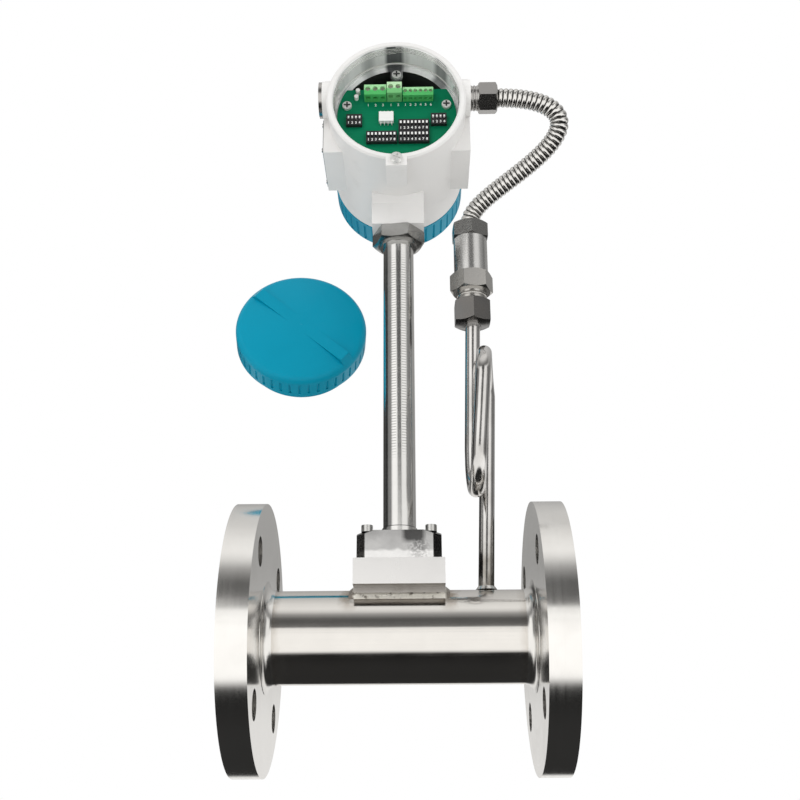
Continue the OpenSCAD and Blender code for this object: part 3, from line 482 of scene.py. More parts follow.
@dataclass(frozen=True)
class StemSteel(Metal):
    """Polished stem with a painted shadow line above its collar and comb marks below the head."""

    collar: float = 68.2 * MM
    combed: float = 187 * MM
    combed_half: float = 70 * MM
    comb_pitch: float = 1.9 * MM
    comb_side: float = 3.4 * MM

    def stains(self, graph: ShaderGraph) -> Sock:
        """The shadow over the collar and the short marks left by a tool.

        Args:
            graph: The material's tree.

        Returns:
            The stains, from nought to one.
        """
        # Painted shadow: a thin dark line along the collar's top edge, where its step would cast
        # shade.
        painted_shade = graph.z.within(self.collar, 0.35 * MM, 0.3 * MM)
        teeth = (graph.z * (1 / self.comb_pitch)).fraction().within(0.5, 0.14, 0.12)
        zone = graph.z.within(self.combed, self.combed_half, 12 * MM)
        side = abs(graph.x - self.axis[0]).within(self.comb_side, 1.5 * MM, 0.8 * MM)
        return (painted_shade * 0.85 + teeth * zone * side * 0.45 + self.handling(graph)).limited()


@dataclass(frozen=True)
class SiphonSteel(Metal):
    """Bent pipe that the welding heat has darkened at its foot."""

    foot: float = 58 * MM

    def stains(self, graph: ShaderGraph) -> Sock:
        """Handling marks, and the dark heat tint above the weld."""
        burnt = graph.z.short_of(self.foot, 40 * MM) * graph.noise(60.0, 3.0).past(0.4, 0.5)
        return (self.handling(graph) + burnt * 0.9).limited()


@dataclass(frozen=True)
class SeatSteel(Metal):
    """Milled block with a heat-tinted foot."""

    foot: float = 27.7 * MM
    ends: float = 25 * MM

    def stains(self, graph: ShaderGraph) -> Sock:
        """Brown below the block's lower edge, uneven, and faint spots above.

        Args:
            graph: The material's tree.

        Returns:
            The stains, from nought to one.
        """
        uneven = graph.noise(90.0, 3.0) * 0.3 + abs(graph.y).past(self.ends, 6 * MM) * 0.3
        brown = graph.z.short_of(self.foot, 0.3 * MM) * (0.5 + uneven)
        return (brown + self.handling(graph)).limited()


@dataclass(frozen=True)
class BonnetSteel(Metal):
    """Hand-polished block whose broken corners are painted dark as painted shade."""

    middle: float = 102 * MM
    flat_half: float = 21.4 * MM
    top: float = 60.9 * MM
    brow: float = 54.5 * MM
    painted_reflection_foot: float = 48.5 * MM

    def stains(self, graph: ShaderGraph) -> Sock:
        """Painted shade on the corners, a painted reflection that darkens the upper half, and two
        dark clouds beside the middle.

        Args:
            graph: The material's tree.

        Returns:
            The stains, from nought to one.
        """
        right = graph.x - self.middle
        upper = graph.z.past(self.brow, 4 * MM)
        # Painted shade: the broken corners below the top are painted dark.
        corner = abs(right).past(self.flat_half, 0.4 * MM) * (graph.z < self.top)
        specks = graph.noise(700.0, 2.0).past(0.5, 0.2)
        high = right.within(9 * MM, 6 * MM, 4 * MM) * upper
        low = right.within(12 * MM, 5 * MM, 5 * MM) * (1 - upper) * specks * 0.5
        # Painted reflection: the front is darker above a wavy line and stays bright below it.
        wavy = graph.z + (graph.noise(160.0, 1.0) - 0.5) * (6 * MM)
        painted_reflection = wavy.past(self.painted_reflection_foot, 2 * MM) * (0.3 + graph.noise(50.0, 1.0) * 0.3)
        front = ((high + low) * self.stain + painted_reflection) * (graph.y < 0)
        return (corner * 0.9 + front).limited()


@dataclass(frozen=True)
class WeldMetal(Metal):
    """Polished fillets at the flanges, and lumpy beads with burnt edges at the seat, painted pale
    as a painted highlight.
    """

    middle: float = 102 * MM
    reach: float = 40 * MM
    bead_half: float = 28.2 * MM
    # Partly straw tint and partly painted highlight: a pale cream that makes the mostly matt beads
    # look bright.
    bead_highlight_colour: Colour = (0.97, 0.93, 0.84)
    burnt: Colour = (0.09, 0.065, 0.045)
    lump: float = 0.35 * MM

    def values(self, graph: ShaderGraph) -> Values:
        """Steel at the flanges and, between them, beads whose pale cream is partly straw tint and
        partly painted highlight, with burnt soot.

        Args:
            graph: The material's tree.

        Returns:
            The shader's values.
        """
        off = abs(graph.x - self.middle)
        bead = off < self.reach
        lumps = graph.noise(620.0, 3.0, graph.vector(graph.x, graph.y * 0.4, graph.z * 0.4))
        cloud = graph.noise(70.0, 3.0)
        ends = off.past(self.bead_half, 1.6 * MM)
        soot = (graph.noise(240.0, 4.0).past(0.64, 0.14) + ends).limited()
        bead_highlight_and_soot = graph.mix(soot * 0.85, self.bead_highlight_colour, self.burnt)
        return {
            "Base Color": graph.mix(bead, self.clouded(graph, cloud, self.dull), bead_highlight_and_soot),
            # Painted highlight: the beads are mostly matt, so their pale colour and not a
            # reflection makes them bright.
            "Metallic": 1 - bead * 0.85,
            "Roughness": self.roughness + bead * 0.14 + (cloud - 0.5) * 0.1,
            "Normal": graph.bump(lumps * (0.15 + bead), 0.8, self.lump),
        }


@dataclass(frozen=True)
class CastPaint(Finish):
    """Powder coat on a casting whose mouth is machined bare, with painted reflections in the mouth
    and painted shade in the chamber behind it.
    """

    bare: Colour = (0.96, 0.96, 0.96)
    shade: Colour = (0.11, 0.115, 0.12)
    grime: Colour = (0.5, 0.49, 0.46)
    # Painted shade: near black for the inside of the front chamber behind the board.
    chamber_shade: Colour = (0.035, 0.038, 0.038)
    axis: tuple[float, float] = (102 * MM, 348 * MM)
    mouth: float = 42.9 * MM
    floor: float = -42.3 * MM
    chamber: float = 39.3 * MM
    reflection_streaks: Bands = ((-2, 8, 4, 1.0), (-27, 6, 6, 0.45), (8, 3, 4, 0.3), (47, 8, 6, 0.75),
                      (-60, 8, 14, 0.3), (80, 7, 8, 0.4), (-88, 8, 12, 0.3))

    def ring(self, graph: ShaderGraph) -> Sock:
        """Bare metal of the mouth with dark streaks, placed by their turn from its top: painted
        reflections.

        Args:
            graph: The material's tree.

        Returns:
            The colour.
        """
        # Painted reflection: near-white, almost matt metal crossed by dark streaks stands in for
        # what the turned bore mirrors.
        turn = (graph.x - self.axis[0]).angle(graph.z - self.axis[1])
        uneven = graph.noise(14.0, 3.0, graph.vector(turn * 0.01, 0.0, 0.0)) - 0.5
        dark = (turn.bands(self.reflection_streaks) + uneven * 0.4).limited()
        return graph.mix(dark, self.bare, self.shade)

    def values(self, graph: ShaderGraph) -> Values:
        """Speckled paint, the bare mouth with its painted reflections and the painted shade deep in
        the front chamber.

        Args:
            graph: The material's tree.

        Returns:
            The shader's values.
        """
        radius = graph.radius(graph.x - self.axis[0], graph.z - self.axis[1])
        machined = (radius < self.mouth) * (graph.y < self.floor)
        # Painted shade: the chamber's inside, deeper than the mouth and in front of the middle, is
        # painted near black.
        chamber_shade_mask = (radius < self.chamber) * (graph.y > self.floor) * (graph.y < 0)
        cloud = graph.noise(24.0, 3.0)
        speck = graph.noise(1500.0, 2.0)
        grimy = graph.noise(70.0, 4.0).past(0.68, 0.2) * 0.18
        skin = graph.mix(grimy, self.clouded(graph, cloud, 0.93), self.grime)
        paint = graph.mix(chamber_shade_mask, skin, self.chamber_shade)
        rings = graph.noise(2200.0, 1.0, graph.vector(graph.y, radius, 0.0))
        height = machined * rings + (1 - machined) * speck
        return {
            "Base Color": graph.mix(machined, paint, self.ring(graph)),
            "Metallic": machined * 0.12,
            "Roughness": self.roughness + (speck - 0.5) * 0.1 - machined * 0.08,
            "Normal": graph.bump(height, 0.3, 0.05 * MM),
        }


@dataclass(frozen=True)
class Enamel(Finish):
    """Enamel with a slight orange-peel skin and dull rubbed places."""

    coat: float = 0.25
    coat_roughness: float = 0.06
    coat_ior: float = 1.15
    sheen: float = 0.12

    def values(self, graph: ShaderGraph) -> Values:
        """Clouded enamel under its clear coat.

        Args:
            graph: The material's tree.

        Returns:
            The shader's values.
        """
        cloud = graph.noise(30.0, 2.0)
        peel = graph.noise(900.0, 1.0)
        return {
            "Base Color": self.clouded(graph, cloud, 0.9),
            "Roughness": self.roughness + (cloud - 0.5) * 0.08,
            "Specular IOR Level": self.sheen,
            "Coat Weight": self.coat,
            "Coat Roughness": self.coat_roughness,
            "Coat IOR": self.coat_ior,
            "Normal": graph.bump(peel, 0.1, 0.04 * MM),
        }


@dataclass(frozen=True)
class Moulded(Finish):
    """Moulded plastic or rubber with a fine eroded skin."""

    skin: float = 1400.0
    dust: float = 0.12
    metallic: float = 0.0

    def values(self, graph: ShaderGraph) -> Values:
        """Plain colour with a little dust.

        Args:
            graph: The material's tree.

        Returns:
            The shader's values.
        """
        skin = graph.noise(self.skin, 3.0)
        cloud = graph.noise(120.0, 3.0)
        dusty = tuple(part * 0.7 + 0.18 for part in self.colour)
        return {
            "Base Color": graph.mix(cloud.past(0.6, 0.3) * self.dust, self.colour, dusty),
            "Metallic": self.metallic,
            "Roughness": self.roughness + (skin - 0.5) * 0.2,
            "Normal": graph.bump(skin, 0.25, 0.03 * MM),
        }


@dataclass(frozen=True)
class TwoTone(Finish):
    """Moulded plastic that is paler above a level."""

    upper: Colour = (0.5, 0.6, 0.2)
    level: float = 364.5 * MM
    skin: float = 1400.0

    def values(self, graph: ShaderGraph) -> Values:
        """The lower colour and the upper one, with a soft border.

        Args:
            graph: The material's tree.

        Returns:
            The shader's values.
        """
        skin = graph.noise(self.skin, 3.0)
        high = graph.z.past(self.level, 1.2 * MM)
        return {
            "Base Color": graph.mix(high, self.colour, self.upper),
            "Roughness": self.roughness + (skin - 0.5) * 0.2,
            "Normal": graph.bump(skin, 0.2, 0.03 * MM),
        }


@dataclass(frozen=True)
class BoardLacquer(Finish):
    """Green circuit board with faint tracks under its lacquer."""

    track: Colour = (0.004, 0.20, 0.10)
    track_rows: float = 420.0
    sheen: float = 0.12

    def values(self, graph: ShaderGraph) -> Values:
        """Clouded green with wandering tracks.

        Args:
            graph: The material's tree.

        Returns:
            The shader's values.
        """
        rows = graph.z * self.track_rows + graph.noise(22.0, 0.0) * 3
        cloud = graph.noise(60.0, 2.0)
        tracks = rows.fraction().within(0.5, 0.12, 0.08) * cloud.past(0.5, 0.1)
        return {
            "Base Color": graph.mix(tracks * 0.5, self.clouded(graph, cloud, 0.8), self.track),
            "Roughness": self.roughness,
            "Specular IOR Level": self.sheen,
            "Normal": graph.bump(tracks, 0.25, 0.03 * MM),
        }


@dataclass(frozen=True)
class ClearGlass(Finish):
    """Clear toughened glass."""

    ior: float = 1.5

    def values(self, graph: ShaderGraph) -> Values:
        """Glass with faint smears."""
        smear = graph.noise(60.0, 3.0).past(0.6, 0.4)
        return {"Base Color": (*self.colour, 1.0), "Roughness": self.roughness + smear * 0.05,
                "Transmission Weight": 1.0, "IOR": self.ior}


@dataclass(frozen=True)
class Corrugated(Finish):
    """Bright corrugated hose, with painted shade in its grooves."""

    # Painted shade: the near-black colour that fills the grooves.
    painted_shade: Colour = (0.018, 0.017, 0.016)

    def values(self, graph: ShaderGraph) -> Values:
        """Colour by the height that the hose's tree stored.

        Args:
            graph: The material's tree.

        Returns:
            The shader's values.
        """
        height = graph.sock("ShaderNodeAttribute", {"attribute_name": "height"}, None, "Fac")
        cloud = graph.noise(320.0, 3.0)
        bright = self.clouded(graph, cloud, 0.8)
        # The grooves get the painted shade colour and the ridges the bright metal.
        return {
            "Base Color": graph.mix(height.past(0.52, 0.36), self.painted_shade, bright),
            "Metallic": 1.0,
            "Roughness": self.roughness + (cloud - 0.5) * 0.15,
            "Normal": graph.bump(graph.noise(1600.0), 0.2, 0.03 * MM),
        }


class Shape(Graph):
    """A Geometry Nodes tree with named inputs, made into plain meshes."""

    def __init__(self, name: str, inputs: dict[str, Value]) -> None:
        """Starts a tree.

        Args:
            name: Name of the tree.
            inputs: Default of each named input.
        """
        super().__init__(bpy.data.node_groups.new(name, "GeometryNodeTree"))
        face = self.tree.interface
        face.new_socket("Geometry", in_out="OUTPUT", socket_type="NodeSocketGeometry")
        face.new_socket("Geometry", in_out="INPUT", socket_type="NodeSocketGeometry")
        self.keys = {}
        for key, default in inputs.items():
            kind = "NodeSocketInt" if isinstance(default, int) else "NodeSocketFloat"
            item = face.new_socket(key, in_out="INPUT", socket_type=kind)
            item.default_value = default
            self.keys[key] = item.identifier
        finish = face.new_socket("Finish", in_out="INPUT", socket_type="NodeSocketMaterial")
        self.keys["Finish"] = finish.identifier
        self.entry = self.add("NodeGroupInput")

    def size(self, name: str) -> Sock:
        """A named input."""
        return Sock(self, self.entry.outputs[name])

    def close(self, geometry: Sock, smooth: bool = True) -> None:
        """Ends the tree in Realize Instances and Set Material.

        Args:
            geometry: What the tree has made.
            smooth: True for smooth faces and false for flat ones.
        """
        real = self.sock("GeometryNodeRealizeInstances", None, {0: geometry})
        shaded = self.sock("GeometryNodeSetShadeSmooth", None,
                           {"Geometry": real, "Shade Smooth": smooth})
        dressed = self.sock("GeometryNodeSetMaterial", None,
                            {"Geometry": shaded, "Material": self.size("Finish")})
        self.add("NodeGroupOutput", None, {0: dressed})

    def make(self, name: str, finish: Finish, values: dict[str, Value],
             base: Optional[bpy.types.Mesh] = None) -> bpy.types.Object:
        """Runs the tree once.

        Args:
            name: Name of the piece.
            finish: Its finish.
            values: Values of the named inputs.
            base: Mesh that the tree starts from, where it needs one.

        Returns:
            An object at the origin that holds the plain result.
        """
        start = base or bpy.data.meshes.new("start")
        source = bpy.data.objects.new(name + "_base", start)
        bpy.context.scene.collection.objects.link(source)
        modifier = source.modifiers.new("shape", "NODES")
        modifier.node_group = self.tree
        for key, value in {**values, "Finish": material_of(finish)}.items():
            modifier[self.keys[key]] = value
        bpy.context.view_layer.update()
        graph = bpy.context.evaluated_depsgraph_get()
        mesh = bpy.data.meshes.new_from_object(source.evaluated_get(graph))
        source.modifiers.remove(modifier)
        bpy.data.objects.remove(source)
        return new_object(name, mesh)


def new_object(name: str, mesh: bpy.types.Mesh) -> bpy.types.Object:
    """Links a mesh into the scene.

    Args:
        name: Name of the object and its mesh.
        mesh: The mesh.

    Returns:
        The object, at the origin.
    """
    mesh.name = name
    piece = bpy.data.objects.new(name, mesh)
    bpy.context.scene.collection.objects.link(piece)
    return piece


def path_mesh(points: Sequence[Vector]) -> bpy.types.Mesh:
    """A chain of edges through points.

    Args:
        points: The points, in order.

    Returns:
        The mesh.
    """
    mesh = bpy.data.meshes.new("path")
    mesh.from_pydata([tuple(point) for point in points],
                     [(i, i + 1) for i in range(len(points) - 1)], [])
    return mesh


def dress(finish: Finish, *nodes: str) -> None:
    """Gives CAD nodes a finish.

    Args:
        finish: The finish.
        nodes: Names of the nodes.
    """
    for name in nodes:
        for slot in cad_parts[name].material_slots:
            slot.material = material_of(finish)
        LOG.info("%s: %s", name, finish.name)


def settle(piece: bpy.types.Object, body: str, slot: str, *replaced: str) -> None:
    """Hands a made piece to the frame.

    Args:
        piece: The piece, in place.
        body: The body that it moves with.
        slot: Not used.
        replaced: CAD nodes that it stands for.
    """
    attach(piece, body)
    if replaced:
        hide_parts(*replaced)
    LOG.info("%s: %d faces", piece.name, len(piece.data.polygons))


def middle_of(node: str) -> Vector:
    """The middle of a CAD node's box."""
    low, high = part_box(node)
    return (low + high) / 2


@lru_cache(maxsize=None)
def hose_shape() -> Shape:
    """A tree that sweeps a round tube along a chain of edges, with or without ridges.

    Returns:
        The tree, which leaves each point's height above the grooves as an attribute.
    """
    shape = Shape("hose", {"Radius": 6 * MM, "Groove": 0.0, "Pitch": 3 * MM, "Step": 0.5 * MM,
                           "Helix": 0.0, "Sides": 48})
    store = "GeometryNodeStoreNamedAttribute"
    on_points = {"data_type": "FLOAT", "domain": "POINT"}
    line = shape.sock("GeometryNodeMeshToCurve", None, {0: shape.size("Geometry")})
    fine = shape.sock("GeometryNodeResampleCurve", {"mode": "LENGTH"},
                      {"Curve": line, "Length": shape.size("Step")})
    along = shape.sock("GeometryNodeSplineParameter", None, None, "Length")
    marked = shape.sock(store, on_points, {"Geometry": fine, "Name": "along", "Value": along})
    circle = shape.sock("GeometryNodeCurvePrimitiveCircle", None,
                        {"Resolution": shape.size("Sides"), "Radius": shape.size("Radius")})
    around = shape.sock("GeometryNodeSplineParameter", None, None, "Factor")
    rim = shape.sock(store, on_points, {"Geometry": circle, "Name": "around", "Value": around})
    tube = shape.sock("GeometryNodeCurveToMesh", None,
                      {"Curve": marked, "Profile Curve": rim, "Fill Caps": True})
    length, turn = (shape.sock("GeometryNodeInputNamedAttribute", {"data_type": "FLOAT"},
                               {"Name": name}, "Attribute") for name in ("along", "around"))
    wave = abs(((length / shape.size("Pitch") + turn * shape.size("Helix")) * math.pi).sine())
    height = wave ** 0.6
    raised = shape.sock(store, on_points, {"Geometry": tube, "Name": "height", "Value": height})
    normal = shape.sock("GeometryNodeInputNormal")
    sunk = shape.sock("ShaderNodeVectorMath", {"operation": "SCALE"},
                      {0: normal, "Scale": (height - 1) * shape.size("Groove")})
    shape.close(shape.sock("GeometryNodeSetPosition", None, {"Geometry": raised, "Offset": sunk}))
    return shape


@lru_cache(maxsize=None)
def row_shape() -> Shape:
    """A tree that repeats a small block along X.

    Returns:
        The tree, whose row has its middle at the origin.
    """
    shape = Shape("row", {"Count": 8, "Pitch": 2.54 * MM, "Width": 1.1 * MM, "Depth": 0.5 * MM,
                          "Height": 1.5 * MM})
    count, pitch = shape.size("Count"), shape.size("Pitch")
    start = shape.vector((1 - count) * pitch / 2, 0.0, 0.0)
    line = shape.sock("GeometryNodeMeshLine", {"mode": "OFFSET"},
                      {"Count": count, "Start Location": start,
                       "Offset": shape.vector(pitch, 0.0, 0.0)})
    size = shape.vector(shape.size("Width"), shape.size("Depth"), shape.size("Height"))
    block = shape.sock("GeometryNodeMeshCube", None, {"Size": size})
    row = shape.sock("GeometryNodeInstanceOnPoints", None, {"Points": line, "Instance": block})
    shape.close(row, smooth=False)
    return shape


def lay_row(name: str, finish: Finish, slot: str, place: Vector,
            values: dict[str, Value]) -> None:
    """Lays a row of small blocks.

    Args:
        name: Name of the piece.
        finish: Its finish.
        slot: Name of a material slot, handed on to settle.
        place: The middle of the row.
        values: Values of the row's named inputs.
    """
    row = row_shape().make(name, finish, values)
    row.data.transform(Matrix.Translation(place))
    settle(row, "root", slot)


def joined(name: str, meshes: Iterable[tuple[bpy.types.Mesh, Matrix]]) -> bpy.types.Object:
    """One piece from several meshes.

    Args:
        name: Name of the piece.
        meshes: Each mesh and where it goes.

    Returns:
        The piece, at the origin, with the first mesh's material.
    """
    work = bmesh.new()
    finish = None
    for mesh, place in meshes:
        part = mesh.copy()
        part.transform(place)
        work.from_mesh(part)
        finish = finish or mesh.materials[0]
        bpy.data.meshes.remove(part)
    whole = bpy.data.meshes.new(name)
    work.to_mesh(whole)
    work.free()
    whole.materials.append(finish)
    return new_object(name, whole)


def figures(name: str, finish: Finish, back: bool,
            marks: Sequence[tuple[str, Vector, float]]) -> bpy.types.Object:
    """Flat printed figures on an upright face.

    Args:
        name: Name of the piece.
        finish: Finish of the print.
        back: True where the face looks to the display side.
        marks: Text, its middle and its height for each figure.

    Returns:
        The piece.
    """
    facing = Matrix.Rotation(math.pi / 2, 4, "X")
    if back:
        facing = Matrix.Rotation(math.pi, 4, "Z") @ facing
    made = []
    for text, place, height in marks:
        curve = bpy.data.curves.new(name, "FONT")
        curve.body = text
        curve.size = height * 1.4
        curve.align_x = "CENTER"
        curve.align_y = "CENTER"
        curve.resolution_u = 2
        curve.offset = height * 0.03
        curve.materials.append(material_of(finish))
        holder = bpy.data.objects.new(name + "_text", curve)
        bpy.context.scene.collection.objects.link(holder)
        bpy.context.view_layer.update()
        graph = bpy.context.evaluated_depsgraph_get()
        mesh = bpy.data.meshes.new_from_object(holder.evaluated_get(graph))
        bpy.data.objects.remove(holder)
        made.append((mesh, Matrix.Translation(place) @ facing))
    return joined(name, made)


def round_off(node: str, name: str, finish: Finish, width: float, slot: str) -> None:
    """Puts a copy with broken edges in a CAD node's place.

    Args:
        node: Name of the node.
        name: Name of the copy.
        finish: Finish of the copy.
        width: Width of the broken edge.
        slot: Name of a material slot, handed on to settle.
    """
    work = bmesh.new()
    work.from_mesh(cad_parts[node].data)
    bmesh.ops.remove_doubles(work, verts=work.verts, dist=0.002 * MM)
    bmesh.ops.dissolve_limit(work, angle_limit=math.radians(1), verts=work.verts, edges=work.edges)
    mesh = bpy.data.meshes.new(name)
    work.to_mesh(mesh)
    work.free()
    for extra in ("custom_normal", "sharp_edge", "sharp_face"):
        if extra in mesh.attributes:
            mesh.attributes.remove(mesh.attributes[extra])
    mesh.materials.clear()
    mesh.materials.append(material_of(finish))
    mesh.polygons.foreach_set("use_smooth", [True] * len(mesh.polygons))
    piece = new_object(name, mesh)
    edge = piece.modifiers.new("edges", "BEVEL")
    edge.width = width
    edge.segments = 2
    edge.limit_method = "ANGLE"
    edge.angle_limit = math.radians(34)
    edge.harden_normals = True
    settle(piece, "root", slot, node)


@dataclass
class PipeRun:
    """Flow tube, flanges, welds, seat and bonnet."""

    steel: Colour = (0.93, 0.92, 0.90)
    bead_r: float = 1.25 * MM
    bead_pitch: float = 2.1 * MM
    bead_points: int = 60
    bead_reach: float = 0.64
    bead_overrun: float = 1 * MM
    bead_wander: float = 0.25 * MM
    bead_lift: float = 0.35 * MM
    edge: float = 0.7 * MM

    def bead_route(self, side: float) -> list[Vector]:
        """The unsteady line of the weld along one foot of the seat's plinth.

        Args:
            side: Minus one for the viewer's side and one for the far side.

        Returns:
            Its points.
        """
        low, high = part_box("sensor_seat")
        tube_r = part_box("flow_tube")[1].z
        start, stop = low.x - self.bead_overrun, high.x + self.bead_overrun
        route = []
        for i in range(self.bead_points + 1):
            y = tube_r * self.bead_reach + random.uniform(-self.bead_wander, self.bead_wander)
            z = math.sqrt(tube_r * tube_r - y * y) + self.bead_lift
            route.append(Vector((start + (stop - start) * i / self.bead_points, side * y, z)))
        return route

    def build(self) -> None:
        """Lays the beads, breaks the blocks' edges and dresses the nodes."""
        dress(TintedTube("tube_steel", (0.80, 0.78, 0.75), 0.13, Grain.ALONG_X), "flow_tube")
        dress(Metal("flange_steel", self.steel, 0.17, Grain.TURNED_X, stain=0.1, depth=0.03 * MM),
              "inlet_flange", "outlet_flange", "shedder_bar", "vortex_probe", "siphon_ferrule")
        weld = WeldMetal("weld_steel", (0.82, 0.81, 0.79), 0.2)
        dress(weld, "weld_beads")
        for side, name in ((-1.0, "front_seat_bead"), (1.0, "rear_seat_bead")):
            sizes = {"Radius": self.bead_r, "Groove": 0.45 * MM, "Pitch": self.bead_pitch,
                     "Step": 0.3 * MM, "Helix": 0.0, "Sides": 16}
            bead = hose_shape().make(name, weld, sizes, path_mesh(self.bead_route(side)))
            settle(bead, "root", "weld_metal")
        seat = SeatSteel("seat_steel", (0.96, 0.955, 0.95), 0.3, pitch=0.7 * MM, dull=0.96,
                         stain=0.05, stain_colour=(0.13, 0.105, 0.075))
        round_off("sensor_seat", "seat_block", seat, self.edge, "seat_steel")
        # The bonnet's dark grey stain colour paints the shade on its corners and the reflection
        # over its upper half.
        bonnet = BonnetSteel("bonnet_steel", (0.86, 0.86, 0.86), 0.12, pitch=3 * MM,
                             depth=0.01 * MM, wave=0.2 * MM, stain=0.72,
                             stain_colour=(0.09, 0.09, 0.09))
        round_off("bonnet", "bonnet_block", bonnet, self.edge, "bonnet_steel")
        dress(Metal("bright_screw", (0.66, 0.66, 0.65), 0.16, pitch=0.5 * MM),
              "bonnet_bolts", "plate_rivets", "display_screws")
        dress(Moulded("gasket_rubber", (0.03, 0.03, 0.03), 0.7), "sensor_gasket")


@dataclass
class SensorStem:
    """Stem, its lock nut and the lead inside."""

    steel: Colour = (0.82, 0.82, 0.81)
    edge: float = 0.4 * MM

    def build(self) -> None:
        """Breaks the nut's edges and dresses the nodes."""
        place = middle_of("stem")
        # The stem's grey stain colour also paints the shadow line above the collar.
        dress(StemSteel("stem_steel", self.steel, 0.17, Grain.TURNED_Z, (place.x, place.y),
                        stain=0.08, stain_colour=(0.12, 0.12, 0.12)), "stem")
        nut = Metal("lock_nut_steel", (0.5, 0.5, 0.49), 0.24, wave=0.2 * MM, stain=0.12)
        round_off("stem_lock_nut", "lock_nut", nut, self.edge, "nut_steel")
        dress(Moulded("lead_jacket", (0.03, 0.03, 0.03), 0.6), "signal_lead")


